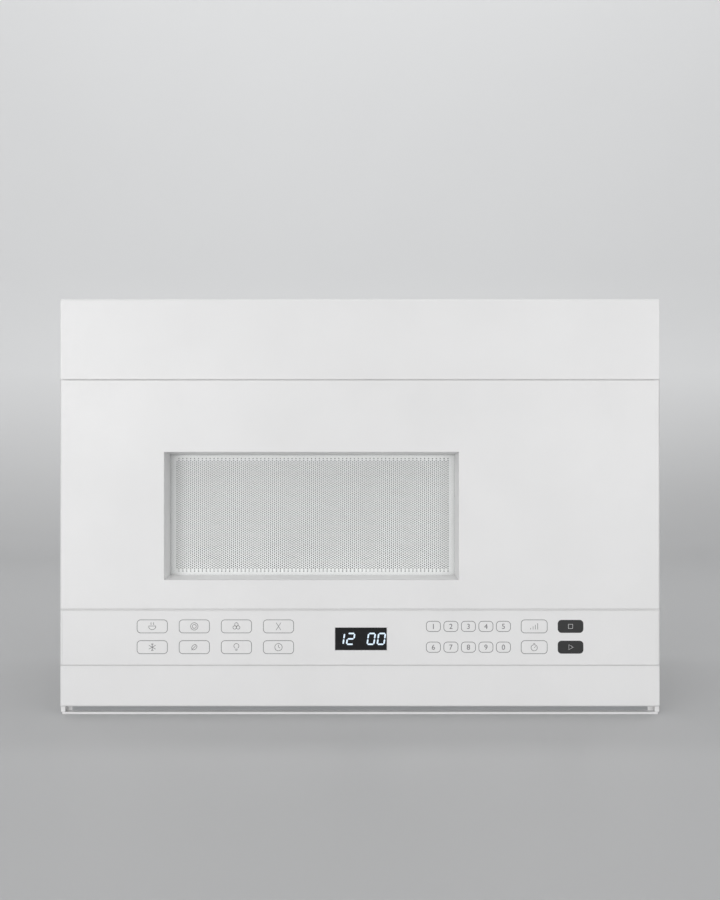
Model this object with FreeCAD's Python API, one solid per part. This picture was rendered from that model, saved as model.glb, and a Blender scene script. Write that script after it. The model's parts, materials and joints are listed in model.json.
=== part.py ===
import FreeCAD, Part
import math
import os

# A 24 inch over the range microwave oven with a full width door hinged on the left.
# Millimetres. +X is the user's right, +Y runs from the door to the wall, +Z is up.
# The origin is under the middle of the base.

Vector = FreeCAD.Vector

# Driving dimensions: the outside, and the front stack from the base up.
body_width = 606.5
body_depth = 386.0
lip_height = 2.0
lip_gap = 5.5
chin_height = 42.0
chin_seam = 0.5
control_height = 54.5
door_seam = 2.0
door_height = 231.0
top_seam = 1.0
top_panel_height = 81.0
front_depth = 40.0

# Sheet metal and moulding walls.
sheet = 1.0
panel_wall = 2.5
face_wall = 3.0
cover_inset = 1.0
trim_inset = 0.5
panel_setback = 1.0
lip_depth = 9.0
front_wall_inset = 5.0
front_wall_overlap = 6.0
side_flange_height = 14.0
end_web = 2.0
air_slots_from_back = (30.0, 90.0)
air_slot_pitch = 10.0
air_slot_width = 4.0
cover_corner_radius = 3.0
side_edge_radius = 2.5
long_edge_radius = 2.0
fit = 0.3
running_gap = 0.05
past = 1.0
round_sides = 24
motor_sides = 16
hex_sides = 6
square_sides = 4

# Door.
door_gap = 2.0
door_rim_setback = 1.5
inner_cover_thickness = 3.0
window_left = 105.45
window_width = 297.7
window_bottom = 29.2
window_height = 129.2
window_depth = 24.5
window_draft = 2.5
window_wall = 2.0
pane_margin = 6.0
pane_thickness = 2.0
screen_sheet = 0.8
choke_width = 20.0
choke_height = 14.0
choke_lip = 6.0
choke_finger = 33.0
choke_slot = 4.0
stiffener_width = 4.0
stiffener_height = 1.2
inner_window_margin = 12.0
inner_pane_thickness = 1.5
grip_height = 110.0
grip_depth = 18.0
grip_mouth = 25.0
grip_wall = 2.0
grip_from_front = 6.0
door_rib_spacing = 30.0
door_rib_depth = 8.0
rib_thickness = 1.8
cover_post_radius = 4.0
cover_post_inset = 24.0

# Door hinges.
hinge_from_side = 6.25
hinge_from_frame = 10.0
hinge_arm_thickness = 3.0
hinge_arm_half_width = 6.0
hinge_arm_clearance = 0.7
hinge_flange_width = 18.0
hinge_flange_height = 32.0
hinge_flange_thickness = 2.0
hinge_pin_radius = 2.5
hinge_pin_length = 10.0
hinge_boss_radius = 4.6
notch_clearance = 0.5
notch_floor = 2.0
notch_side_gap = 1.5
hinge_boss_cap = 2.0

# Door latch and interlock.
latch_from_choke = 18.0
latch_bar_width = 8.0
latch_bar_thickness = 6.0
latch_bar_back = 6.0
latch_travel = 4.0
hook_from_door_edge = 55.0
hook_thickness = 4.0
hook_height = 10.0
hook_nose = 4.0
hook_reach = 22.0
hook_side_clearance = 3.0
hook_end_clearance = 1.5
hook_barb_length = 10.0
hook_barb_flat = 3.0
hook_tip_chamfer = 2.0
cover_slot_gap = 1.0
guide_height = 8.0
guide_wall = 3.0
guide_overlap = 2.0
latch_body_margin = 6.0
latch_body_reach = 20.0
spring_radius = 3.4
spring_wire = 0.45
spring_turns = 5
spring_length = 20.0
switch_length = 28.0
switch_depth = 16.0
switch_width = 10.0
switch_place = 0.65
plunger_length = 2.0
plunger_from_wall = 7.0
terminal_thickness = 0.8
pin_length = 6.0
pin_width = 4.0

# Oven cavity.
cavity_left_gap = 51.25
bay_width = 149.25
cavity_door_overlap = 17.5
weld_lip = 0.5
cavity_rear_gap = 10.0
turntable_recess_radius = 125.0
turntable_recess_depth = 2.0
waveguide_window = (80.0, 36.0)
lamp_window_radius = 8.0
lamp_from_back = 60.0
lamp_from_top = 40.0
lamp_holder_gap = 16.0
lamp_holder_depth = 18.0
lamp_holder_width = 22.0
lamp_bulb_radius = 6.5

# Turntable.
tray_wall_gap = 15.0
tray_thickness = 4.5
tray_rim_height = 14.0
tray_rim_edge = 4.0
tray_slope_width = 22.0
tray_sides = 60
roller_radius = 8.0
roller_width = 8.0
roller_circle_radius = 105.0
roller_axle_radius = 2.0
roller_count = 3
roller_end_gap = 0.5
ring_radius = 95.0
ring_width = 8.0
ring_thickness = 4.0
ring_sides = 48
coupler_radius = 12.0
coupler_lobes = 3
lug_length = 10.0
lug_start = 16.0
lug_height = 4.0
lobe_reach = 24.0
lobe_height = 5.0
coupler_floor_gap = 2.0
turntable_shaft_radius = 3.0
turntable_motor_radius = 25.0
turntable_motor_height = 15.0
motor_ear = 9.0
motor_terminal_sink = 4.0
motor_shaft_share = 0.6
motor_ear_width = 14.0

# Microwave source.
waveguide_reach = 100.0
waveguide_span = 90.0
waveguide_height = 40.0
waveguide_above_floor = 116.0
waveguide_flange = 10.0
mica_thickness = 0.7
mica_overlap = 7.0
magnetron_share = 0.6
antenna_radius = 7.5
antenna_length = 24.0
stem_wall = 2.0
stem_gap = 4.0
yoke_width = 84.0
yoke_depth = 64.0
yoke_height = 60.0
yoke_plate = 2.0
magnet_radius = 27.0
magnet_height = 9.0
anode_radius = 20.0
fin_count = 4
fin_thickness = 0.8
filter_box_height = 36.0
filter_box_width = 58.0
terminal_block_width = 30.0
terminal_block_depth = 14.0
blade_width = 6.3
blade_length = 9.0
core_width = 92.0
core_height = 84.0
core_depth = 62.0
core_leg = 30.0
core_yoke = 15.0
coil_overhang = 14.0
coil_gap = 4.0
foot_plate = 2.0
core_foot = 10.0
capacitor_width = 50.0
capacitor_height = 32.0
capacitor_length = 88.0
capacitor_left = 20.0
capacitor_overlap = 8.0
obround_steps = 8
strap_width = 14.0
transformer_from_frame = 96.0
strap_thickness = 1.2

# Air.
fan_blades = 5
fan_hub_radius = 11.0
fan_depth = 38.0
fan_side_gap = 14.0
fan_above_waveguide = 20.0
fan_hub_length = 12.0
fan_hub_share = 0.7
fan_blade_lean = 28.0
fan_blade_thickness = 1.2
fan_tip_gap = 3.0
fan_blade_outline = ((0.0, 5.0, 5.0), (0.35, 11.0, 12.0), (0.8, 17.0, 16.0), (1.0, 9.0, 13.0))
fan_shaft_radius = 2.0
fan_shaft_seat = 7.0
fan_motor_gap = 19.0
fan_bar_thickness = 3.0
fan_core_width = 52.0
fan_core_height = 44.0
fan_coil_width = 34.0
fan_coil_span = (14.0, 33.0)
fan_bar_height = 14.0
shroud_wall = 2.0
shroud_margin = 7.0
shroud_mouth = 12.0
blower_wheel_length = 78.0
blower_motor_length = 74.0
blower_blades = 16
blower_blade_lean = 35.0
blower_blade_inset = 0.8
wheel_disc = 2.0
wheel_hub_length = 14.0
wheel_sides = 16
wheel_side_gap = 3.0
wheel_motor_gap = 4.0
blower_blade_thickness = 0.8
blower_wall = 1.5
scroll_step = 2.8
scroll_steps = 4
scroll_clearance = 3.5
blower_ring_width = 6.0
blower_from_back = 62.0
blower_outlet = 60.0
blower_shaft_radius = 4.0
blower_foot = 3.0
blower_foot_width = 32.0
saddle_width = 44.0
saddle_thickness = 2.0
motor_to_scroll = 2.0
motor_foot_width = 28.0
bell_length = 5.0
bell_share = 0.7
grease_filter_width = 190.0
grease_filter_depth = 150.0
grease_filter_height = 8.0
grease_filter_spread = 150.0
grease_filter_travel = 8.0
grease_filter_border = 9.0
filter_guide_height = 6.0
mesh_sink = 2.0
tab_width = 22.0
tab_depth = 8.0
tab_inset = 2.0
filter_ledge = 4.0
charcoal_width = 390.0
charcoal_height = 62.0
charcoal_thickness = 9.0
charcoal_border = 6.0
charcoal_sink = 1.5
charcoal_rib_pitch = 54.0
louvre_length = 44.0
louvre_width = 4.0
louvre_lean = 2.0
louvre_pitch_x = 50.0
louvre_pitch_y = 7.5
louvre_rows = 3

# Controls, lamps and mounting.
display_left = 277.5
display_width = 53.4
display_bottom = 14.3
display_height = 24.0
overlay_thickness = 0.5
lens_gap = 0.1
display_clearance = 2.0
display_depth = 9.0
display_leg_radius = 1.5
display_leg_inset = 4.0
wiring_margin = 10.0
touch_board_margin = 70.0
board_from_front = 21.0
board_left_of_display = 34.0
board_right_of_display = 152.6
board_post_radius = 2.5
board_post_inset = 5.0
board_first_part = 16.0
board_part_margin = 6.0
board_part_gap = 18.0
board_relay = (20.0, 15.0, 16.0)
board_parts = (board_relay, board_relay, (34.0, 16.0, 30.0), (14.0, 10.0, 30.0), (26.0, 12.0, 12.0))
board_thickness = 1.6
filter_board_width = 70.0
filter_board_height = 48.0
filter_board_rise = 8.0
standoff_length = 8.0
standoff_radius = 2.5
choke_coil_radius = 13.0
choke_coil_height = 10.0
lens_width = 70.0
lens_depth = 34.0
lens_spread = 150.0
lens_from_frame = 22.5
lens_to_filter = 8.5
lens_flange = 3.0
lens_thickness = 2.0
lamp_height = 15.0
lamp_wall = 2.0
lamp_board_depth = 3.6
led_width = 5.0
bolt_spacing = 460.0
bolt_from_frame = 43.0
bolt_hole_radius = 3.5
bolt_nut_radius = 6.0
bolt_nut_height = 5.0
bracket_overhang = 30.0
bracket_width = 34.0
bracket_height = 10.0
bracket_foot = 10.0
exhaust_width = 254.0
exhaust_depth = 83.0
exhaust_from_back = 25.0
blank_overlap = 8.0
blank_bead_inset = 6.0
bushing_radius = 11.0
bushing_bore = 6.0
bushing_flange_width = 4.0
bushing_flange_height = 5.0
bushing_place = 1 / 6
back_inset = 3.0
back_flange = 12.0
slot_spacing = 360.0
slot_width = 30.0
slot_height = 8.0
slot_above_base = 20.0
emboss_margin = 30.0
emboss_depth = 1.0
emboss_from_shelf = 20.0
emboss_below_top = 10.0
shelf_below_cavity = 25.0
shelf_flange_overlap = 10.0
shelf_air_reach = 20.0
shelf_air_margin = 12.0
screw_radius = 2.0
screw_head_radius = 4.0
screw_head_height = 2.2
screw_length = 6.0
top_screw_spread = 0.6
hinge_screw_shares = (0.45, 0.75)

# Places worked out from the driving dimensions.
half_width = body_width / 2
y_front = -body_depth / 2
y_back = body_depth / 2
y_frame = y_front + front_depth
y_setback = y_front + panel_setback

z_chin = (lip_height + lip_gap, lip_height + lip_gap + chin_height)
z_control = (z_chin[1] + chin_seam, z_chin[1] + chin_seam + control_height)
z_door = (z_control[1] + door_seam, z_control[1] + door_seam + door_height)
z_top = (z_door[1] + top_seam, z_door[1] + top_seam + top_panel_height)
body_height = z_top[1]

x_door = (-half_width, half_width)
x_trim = (-half_width + trim_inset, half_width - trim_inset)
x_cover = (-half_width + cover_inset, half_width - cover_inset)
x_inside = (x_cover[0] + sheet, x_cover[1] - sheet)
z_inside = (sheet, body_height - sheet)
y_panel_back = y_back - back_inset
y_panel = y_panel_back - sheet

x_cavity = (-half_width + cavity_left_gap, half_width - bay_width)
y_cavity = (y_frame + sheet, y_panel - cavity_rear_gap - sheet)
z_cavity = (z_door[0] + cavity_door_overlap, z_door[1] - cavity_door_overlap)
x_oven = (x_cavity[0] + x_cavity[1]) / 2
y_oven = (y_cavity[0] + y_cavity[1]) / 2
x_bay = (x_cavity[1] + sheet, x_inside[1])
x_bay_middle = (x_bay[0] + x_bay[1]) / 2

y_door_rim = y_frame - door_gap - door_rim_setback
y_inner_cover = (y_frame - door_gap - inner_cover_thickness, y_frame - door_gap)
x_window = (x_door[0] + window_left, x_door[0] + window_left + window_width)
z_window = (z_door[0] + window_bottom, z_door[0] + window_bottom + window_height)
y_pane = (y_front + window_depth, y_front + window_depth + pane_thickness)
y_screen = (y_pane[1] + fit, y_pane[1] + fit + screen_sheet)
x_choke = (x_cavity[0] - choke_width, x_cavity[1] + choke_width)
z_choke = (z_cavity[0] - choke_height, z_cavity[1] + choke_height)
x_hinge = x_door[0] + hinge_from_side
y_hinge = y_frame - hinge_from_frame
x_latch = x_choke[1] + latch_from_choke
y_latch = (y_door_rim - latch_bar_back - latch_bar_thickness, y_door_rim - latch_bar_back)
z_hooks = (z_door[0] + hook_from_door_edge, z_door[1] - hook_from_door_edge)
z_latch_bar = (z_hooks[0] - 2 * hook_height, z_hooks[1] + 2 * hook_height)

x_filters = (-grease_filter_spread, grease_filter_spread)
y_lens = y_frame + lens_from_frame
y_filter_front = y_lens + lens_depth / 2 + lens_to_filter
y_filter = (y_filter_front, y_filter_front + grease_filter_depth)
x_display = (x_door[0] + display_left, x_door[0] + display_left + display_width)
z_display = (z_control[0] + display_bottom, z_control[0] + display_bottom + display_height)
z_shelf = z_cavity[0] - shelf_below_cavity
z_emboss = (z_shelf + emboss_from_shelf, z_cavity[1] - emboss_below_top)
y_bolts = y_frame + bolt_from_frame
y_exhaust = (y_back - exhaust_from_back - exhaust_depth, y_back - exhaust_from_back)


# Shape helpers.
def grow(span, by):
    """A span made longer by the same amount at both ends, or shorter if negative."""
    return (span[0] - by, span[1] + by)


def about(middle, width):
    """A span of a given width about its middle."""
    return (middle - width / 2, middle + width / 2)


def block(x, y, z):
    """Rectangular solid from its span along each axis."""
    return Part.makeBox(x[1] - x[0], y[1] - y[0], z[1] - z[0], Vector(x[0], y[0], z[0]))


def rod(point, direction, radius, length):
    """Cylinder that starts at a point."""
    return Part.makeCylinder(radius, length, Vector(*point), Vector(*direction))


def bar(point, direction, radius, length, sides=8):
    """Straight bar with flat sides, its corners at a radius from its middle line."""
    along = Vector(*direction).normalize()
    first = Vector(1, 0, 0) if abs(along.z) > 0.5 else Vector(0, 0, 1)
    second = along.cross(first)
    corners = []
    for corner in range(sides):
        angle = 2 * math.pi * (corner + 0.5) / sides
        outward = first * math.cos(angle) + second * math.sin(angle)
        corners.append(Vector(*point) + outward * radius)
    return Part.Face(Part.makePolygon(corners + corners[:1])).extrude(along * length)


def bore(point, direction, shaft_radius, length, sides=8):
    """Space with flat sides in which a bar or a rod of a radius turns freely."""
    return bar(point, direction, (shaft_radius + running_gap) / math.cos(math.pi / sides), length, sides)


def edges_at(shape, **planes):
    """Edges that lie on every named plane, such as x=0 or z=10."""
    found = []
    for edge in shape.Edges:
        bounds = edge.BoundBox
        spans = {
            "x": (bounds.XMin, bounds.XMax),
            "y": (bounds.YMin, bounds.YMax),
            "z": (bounds.ZMin, bounds.ZMax),
        }
        if all(max(abs(end - at) for end in spans[axis]) < 0.01 for axis, at in planes.items()):
            found.append(edge)
    return found


def rounded(shape, radius, *edge_places):
    """Fillet of one radius on the edges at the given places."""
    edges = []
    for place in edge_places:
        edges.extend(edges_at(shape, **place))
    return shape.makeFillet(radius, edges)


def rectangle_at(x, y, z):
    """Closed rectangular outline in a plane of constant y."""
    corners = [Vector(at_x, y, at_z) for at_x, at_z in ((x[0], z[0]), (x[1], z[0]), (x[1], z[1]), (x[0], z[1]))]
    return Part.makePolygon(corners + corners[:1])


def prism_x(points, x):
    """Solid along X from an outline of (y, z) points."""
    corners = [Vector(x[0], y, z) for y, z in points]
    face = Part.Face(Part.makePolygon(corners + corners[:1]))
    return face.extrude(Vector(x[1] - x[0], 0, 0))


def spaced(span, pitch):
    """Places at a pitch, centred in a span."""
    count = int((span[1] - span[0]) // pitch) + 1
    start = (span[0] + span[1] - (count - 1) * pitch) / 2
    return [start + number * pitch for number in range(count)]


def obround_y(x, y, z):
    """Solid along Y with two rounded ends in flat steps, wider in X than in Z."""
    radius = (z[1] - z[0]) / 2
    corners = []
    for end, first in ((x[1] - radius, -90), (x[0] + radius, 90)):
        for step in range(obround_steps + 1):
            angle = math.radians(first + 180 * step / obround_steps)
            height = z[0] + radius + radius * math.sin(angle)
            corners.append(Vector(end + radius * math.cos(angle), y[0], height))
    return Part.Face(Part.makePolygon(corners + corners[:1])).extrude(Vector(0, y[1] - y[0], 0))


# Case.
def outer_cover():
    """Painted wrap: left side, top and right side bent from one sheet."""
    y = (y_frame, y_back)
    top = {"z": body_height}
    wrap = rounded(block(x_cover, y, (0, body_height)), cover_corner_radius,
                   {"x": x_cover[0], **top}, {"x": x_cover[1], **top})
    inner_top = {"z": z_inside[1]}
    inside = block(x_inside, grow(y, past), (-past, z_inside[1]))
    inside = rounded(inside, cover_corner_radius - sheet,
                     {"x": x_inside[0], **inner_top}, {"x": x_inside[1], **inner_top})
    wrap = wrap.cut(inside)
    flange_y = (y_panel - sheet, y_panel)
    flange = block(x_inside, flange_y, z_inside)
    clear = (grow(x_inside, -back_flange), grow(flange_y, past), (0, z_inside[1] - back_flange))
    flange = flange.cut(block(*clear))
    flange = flange.common(inside)
    through_top = grow((z_inside[1], body_height), past)
    cuts = [block(about(0, exhaust_width), y_exhaust, through_top)]
    depth = through_top[1] - through_top[0]
    for x in about(0, bolt_spacing):
        cuts.append(rod((x, y_bolts, through_top[0]), (0, 0, 1), bolt_hole_radius, depth))
    cuts.append(rod((x_bushing(), y_bushing(), through_top[0]), (0, 0, 1), bushing_radius, depth))
    for x, z in back_screw_places():
        cuts.append(screw_hole((x, flange_y[0] - past, z), sheet + 2 * past))
    return wrap.fuse(flange).cut(Part.makeCompound(cuts))


def x_bushing():
    return x_bay_middle + bay_width * bushing_place


def y_bushing():
    return y_back - exhaust_from_back - bushing_radius


def back_screw_places():
    """Screws round the edge of the back panel, in the wrap's rear flange."""
    inset = back_flange / 2
    sides = [(x, z) for x in grow(x_inside, -inset) for z in (body_height / 4, 3 * body_height / 4)]
    return sides + [(x, z_inside[1] - inset) for x in about(0, body_width * top_screw_spread)]


def back_panel():
    """Rear sheet with the slots that hook on a wall plate and a stiffening emboss."""
    y = (y_panel, y_panel_back)
    panel = block(x_inside, y, (sheet, z_inside[1] - cover_corner_radius))
    emboss_x = grow(x_inside, -emboss_margin)
    emboss = block(emboss_x, (y_panel - emboss_depth, y_panel), z_emboss)
    hollow = block(grow(emboss_x, -2 * sheet), (y_panel_back - emboss_depth, y_panel_back + past),
                   grow(z_emboss, -2 * sheet))
    panel = panel.fuse(emboss).cut(hollow)
    cuts = [screw_hole((x, y_panel - past, z), sheet + 2 * past) for x, z in back_screw_places()]
    slot_z = (slot_above_base, slot_above_base + slot_height)
    for x in about(0, slot_spacing):
        cuts.append(block(about(x, slot_width), grow(y, past), slot_z))
    return panel.cut(Part.makeCompound(cuts))


def base_plate():
    """Bottom pan: folded front lip, filter openings with ledges, lamp and cooling openings."""
    z = (0, sheet)
    front = y_setback + panel_setback
    lip = block(x_inside, (front, front + lip_depth), (0, lip_height))
    pan = block(x_inside, (front, y_panel), z)
    front_wall = block(grow(x_inside, -front_wall_inset), (front + lip_depth, front + lip_depth + sheet),
                       (0, z_chin[0] + front_wall_overlap))
    flanges = [block((x, x + sheet), (y_frame + sheet, y_panel - sheet), (0, side_flange_height))
               for x in (x_inside[0], x_inside[1] - sheet)]
    pan = pan.multiFuse([lip, front_wall] + flanges)
    for x in x_filters:
        seat = grow(about(x, grease_filter_width), fit)
        depth = (y_filter[0] - fit, y_filter[1] + grease_filter_travel + fit)
        guide = block(grow(seat, sheet), grow(depth, sheet), (0, filter_guide_height))
        guide = guide.cut(block(seat, depth, (0, filter_guide_height + past)))
        hole = block(grow(about(x, grease_filter_width), -filter_ledge), grow(y_filter, -filter_ledge),
                     (-past, filter_guide_height + past))
        pan = pan.fuse(guide).cut(hole)
    cuts = [block(grow(about(x, lens_width), fit), grow(about(y_lens, lens_depth), fit), grow(z, past))
            for x in about(0, 2 * lens_spread)]
    for y in spaced((y_panel - air_slots_from_back[1], y_panel - air_slots_from_back[0]), air_slot_pitch):
        cuts.append(block(about(x_bay_middle, bay_width / 2), about(y, air_slot_width), grow(z, past)))
    return pan.cut(Part.makeCompound(cuts)).removeSplitter()


def front_frame():
    """Front sheet of the case, with openings for the oven, the air, the latch and the wiring."""
    y = (y_frame, y_frame + sheet)
    z = (sheet, z_inside[1] - cover_corner_radius)
    through = grow(y, past)
    cuts = [block(x_cavity, through, z_cavity)]
    air_width = charcoal_width - 2 * filter_ledge
    air_z = grow(z_charcoal(), -filter_ledge)
    cuts.append(block(about(0, air_width), through, air_z))
    cuts.append(block(about(x_bay_middle, bay_width / 2), through, grow(z_control, -wiring_margin)))
    for hook in z_hooks:
        cuts.append(block(grow(about(x_latch, hook_thickness), hook_side_clearance), through, hook_slot(hook)))
    for x, z_screw in hinge_screw_places():
        cuts.append(screw_hole((x, y_frame - past, z_screw), sheet + 2 * past))
    return block(x_inside, y, z).cut(Part.makeCompound(cuts))


def hook_slot(hook):
    """Span along Z of the slot that a latch hook enters and rises in."""
    return (hook - hook_nose - hook_end_clearance, hook + hook_height + latch_travel + hook_end_clearance)


def component_shelf():
    """Floor of the component bay, with a flange against the oven and an air hole under the fan."""
    floor = block(x_bay, (y_frame + sheet, y_panel - sheet), (z_shelf - sheet, z_shelf))
    flange = block((x_bay[0], x_bay[0] + sheet), (y_frame + sheet, y_panel - cavity_rear_gap),
                   (z_shelf, z_cavity[0] + shelf_flange_overlap))
    air = block(about(x_bay_middle, bay_width / 2), (y_fan() - shelf_air_reach, y_panel - shelf_air_margin),
                grow((z_shelf - sheet, z_shelf), past))
    return floor.fuse(flange).cut(air).removeSplitter()


def top_vent_panel():
    """Top front panel: plain face, rounded top edge and leaning louvres in its top."""
    y = (y_setback, y_frame)
    panel = rounded(block(x_trim, y, z_top), long_edge_radius, {"y": y[0], "z": z_top[1]})
    inside = block(grow(x_trim, -panel_wall), (y[0] + panel_wall, y[1] + past), grow(z_top, -panel_wall))
    panel = panel.cut(inside)
    bottom, top = z_top[1] - panel_wall - past, z_top[1] + past
    cuts = []
    first_row = y[0] + panel_wall + louvre_width + louvre_lean
    half = louvre_width / 2
    for x in spaced(grow(x_trim, -louvre_pitch_x), louvre_pitch_x):
        for row in range(louvre_rows):
            middle = first_row + row * louvre_pitch_y
            low, high = middle + louvre_lean, middle - louvre_lean
            slot = [(low - half, bottom), (low + half, bottom), (high + half, top), (high - half, top)]
            cuts.append(prism_x(slot, about(x, louvre_length)))
    cuts.append(hinge_flange_slot(z_top[0], z_top[0] + panel_wall))
    return panel.cut(Part.makeCompound(cuts))


def lower_front_panel():
    """Lower front panel, with a rounded lower edge and ends that reach the base lip."""
    y = (y_setback, y_frame)
    end_width = panel_wall + end_web
    panel = rounded(block(x_trim, y, z_chin), long_edge_radius, {"y": y[0], "z": z_chin[0]})
    within = grow(x_trim, -panel_wall)
    inside = block(within, (y[0] + panel_wall, y[1] + past), grow(z_chin, -panel_wall))
    bottom_z = grow((z_chin[0], z_chin[0] + panel_wall), past)
    open_bottom = block(within, (y[0] + lip_depth, y[1] + past), bottom_z)
    ends = [block((x, x + end_width), (y[0] + long_edge_radius, y[1]), (lip_height, z_chin[0] + panel_wall))
            for x in (x_trim[0], x_trim[1] - end_width)]
    return panel.cut(inside).cut(open_bottom).multiFuse(ends).removeSplitter()


def top_blank_plate():
    """Plate under the top that closes the duct opening while the air returns to the room."""
    across = about(0, exhaust_width)
    plate_z = (z_inside[1] - sheet, z_inside[1])
    plate = block(grow(across, blank_overlap), grow(y_exhaust, blank_overlap), plate_z)
    bead = block(grow(across, -blank_bead_inset), grow(y_exhaust, -blank_bead_inset),
                 (z_inside[1], z_inside[1] + sheet / 2))
    return plate.fuse(bead)


def top_mount_bracket():
    """Hat channel under the top with two weld nuts for the cabinet bolts."""
    x = about(0, bolt_spacing + 2 * bracket_overhang)
    top = z_inside[1]
    foot_z = (top - bracket_height, top - bracket_height + strap_thickness)
    hat_y = about(y_bolts, bracket_width)
    hat = block(x, hat_y, (foot_z[0], top))
    hollow = block(grow(x, past), grow(hat_y, -strap_thickness), (foot_z[0] - past, top - strap_thickness))
    feet = [block(x, (hat_y[0] - bracket_foot, hat_y[0] + strap_thickness), foot_z),
            block(x, (hat_y[1] - strap_thickness, hat_y[1] + bracket_foot), foot_z)]
    bracket = hat.cut(hollow).multiFuse(feet)
    for nut_x in about(0, bolt_spacing):
        nut = bar((nut_x, y_bolts, top - strap_thickness - bolt_nut_height), (0, 0, 1), bolt_nut_radius,
                  bolt_nut_height, hex_sides)
        hole = rod((nut_x, y_bolts, foot_z[0]), (0, 0, 1), bolt_hole_radius, bracket_height + past)
        bracket = bracket.fuse(nut).cut(hole)
    return bracket.removeSplitter()


def cord_bushing():
    """Bushing in the top, with a six sided flange under the sheet."""
    point = (x_bushing(), y_bushing(), z_inside[1] - bushing_flange_height)
    height = bushing_flange_height + sheet
    neck = bar(point, (0, 0, 1), bushing_radius - running_gap, height, round_sides)
    flange = bar(point, (0, 0, 1), bushing_radius + bushing_flange_width, bushing_flange_height, hex_sides)
    hole = bar(point, (0, 0, 1), bushing_bore, height, round_sides)
    return neck.fuse(flange).cut(hole).removeSplitter()


def screw_hole(point, length):
    """Space along Y for the shank of a screw."""
    return bore(point, (0, 1, 0), screw_radius, length, hex_sides)


def screw(point, direction):
    """Hexagon head screw: head on the near side, shank along the direction."""
    towards = Vector(*direction)
    start = Vector(*point)
    head = bar(start - towards * screw_head_height, direction, screw_head_radius, screw_head_height, hex_sides)
    return head.fuse(bar(start, direction, screw_radius, screw_length, hex_sides)).removeSplitter()


def case_screws():
    """Screws of the back panel and the hinges, as separate solids."""
    back = [screw((x, y_panel_back, z), (0, -1, 0)) for x, z in back_screw_places()]
    hinges = [screw((x, y_frame - hinge_flange_thickness, z), (0, 1, 0)) for x, z in hinge_screw_places()]
    return Part.makeCompound(back + hinges)


# Controls.
def control_panel():
    """Moulded control strip with a recess for the overlay and a window for the display."""
    y = (y_front, y_frame)
    panel = rounded(block(x_door, y, z_control), side_edge_radius,
                    {"x": x_door[0], "y": y_front}, {"x": x_door[1], "y": y_front})
    face = y_front + panel_wall + overlay_thickness
    inside = block(grow(x_door, -panel_wall), (face, y[1] + past), grow(z_control, -panel_wall))
    recess = block(x_overlay(), (y_front - past, y_front + overlay_thickness), grow(z_control, past))
    window = block(x_display, (y_front - past, face + past), z_display)
    panel = panel.cut(inside).cut(recess).cut(window)
    post_z = grow(z_control, -(panel_wall + board_post_radius))
    posts = [bar((x, face - past, z), (0, 1, 0), board_post_radius, y_board() - face + past, square_sides)
             for x in grow(x_board(), -board_post_inset) for z in post_z]
    slot = hinge_flange_slot(z_control[1] - panel_wall, z_control[1])
    return panel.cut(slot).multiFuse(posts).removeSplitter()


def x_overlay():
    return grow(x_door, -side_edge_radius - trim_inset)


def x_board():
    return (x_display[0] - board_left_of_display, x_display[1] + board_right_of_display)


def y_board():
    return y_front + board_from_front


def y_behind_face():
    """Just behind the face of the control panel."""
    return y_front + panel_wall + overlay_thickness + fit


def control_overlay():
    """Printed overlay with the key fields, and a hole for the display lens."""
    y = (y_front, y_front + overlay_thickness)
    return block(x_overlay(), y, z_control).cut(block(x_display, grow(y, past), z_display))


def display_window():
    """Smoked lens, flush with the overlay."""
    y = (y_front, y_front + panel_wall + overlay_thickness)
    return block(grow(x_display, -lens_gap), y, grow(z_display, -lens_gap))


def touch_board():
    """Touch circuit behind the key fields, with a hole round the display."""
    y = (y_behind_face(), y_behind_face() + board_thickness)
    board = block(grow(x_door, -touch_board_margin), y, grow(z_control, -wiring_margin))
    hole = (grow(x_display, display_clearance), grow(y, past), grow(z_display, display_clearance))
    return board.cut(block(*hole))


def display_module():
    """Display with its holder on the control board."""
    y = (y_behind_face(), y_behind_face() + display_depth)
    body = block(grow(x_display, display_clearance / 2), y, grow(z_display, display_clearance / 2))
    legs = [bar((x, y[1] - past, z), (0, 1, 0), display_leg_radius, y_board() - y[1] + past, square_sides)
            for x in grow(x_display, -display_leg_inset) for z in grow(z_display, -display_leg_inset)]
    return body.multiFuse(legs).removeSplitter()


def control_board():
    """Control circuit with its relays, transformer and connectors."""
    x = x_board()
    y = (y_board(), y_board() + board_thickness)
    z = grow(z_control, -(panel_wall + trim_inset))
    board = block(x, y, z)
    place = x[0] + board_first_part
    low = z[0] + board_part_margin
    parts = []
    for width, height, length in board_parts:
        parts.append(block((place, place + width), (y[1], y[1] + height), (low, low + length)))
        place += width + board_part_gap
    return board.multiFuse(parts).removeSplitter()


def noise_filter_board():
    """Mains filter on standoffs on the back panel."""
    x = about(x_bay_middle, filter_board_width)
    z = (z_emboss[0] + filter_board_rise, z_emboss[0] + filter_board_rise + filter_board_height)
    y_end = y_panel - emboss_depth
    y = (y_end - standoff_length, y_end - standoff_length + board_thickness)
    middle = (z[0] + z[1]) / 2
    board = block(x, y, z)
    inset = 2 * standoff_radius
    standoffs = [bar((sx, y[0], sz), (0, 1, 0), standoff_radius, standoff_length, square_sides)
                 for sx in grow(x, -inset) for sz in grow(z, -inset)]
    coil = bar((x[0] + filter_board_width / 3, y[0] - choke_coil_height, middle), (0, 1, 0), choke_coil_radius,
               choke_coil_height, motor_sides)
    case = block((x_bay_middle + choke_coil_height, x[1] - choke_coil_height), (y[0] - choke_coil_height, y[0]),
                 about(middle, 2 * choke_coil_radius))
    return board.multiFuse(standoffs + [coil, case]).removeSplitter()


# Door.
def window_section(y, margin):
    """Outline of the window recess at a depth, with a margin outside it."""
    inward = window_draft * (y - y_front) / window_depth - margin
    return rectangle_at(grow(x_window, -inward), y, grow(z_window, -inward))


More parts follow.
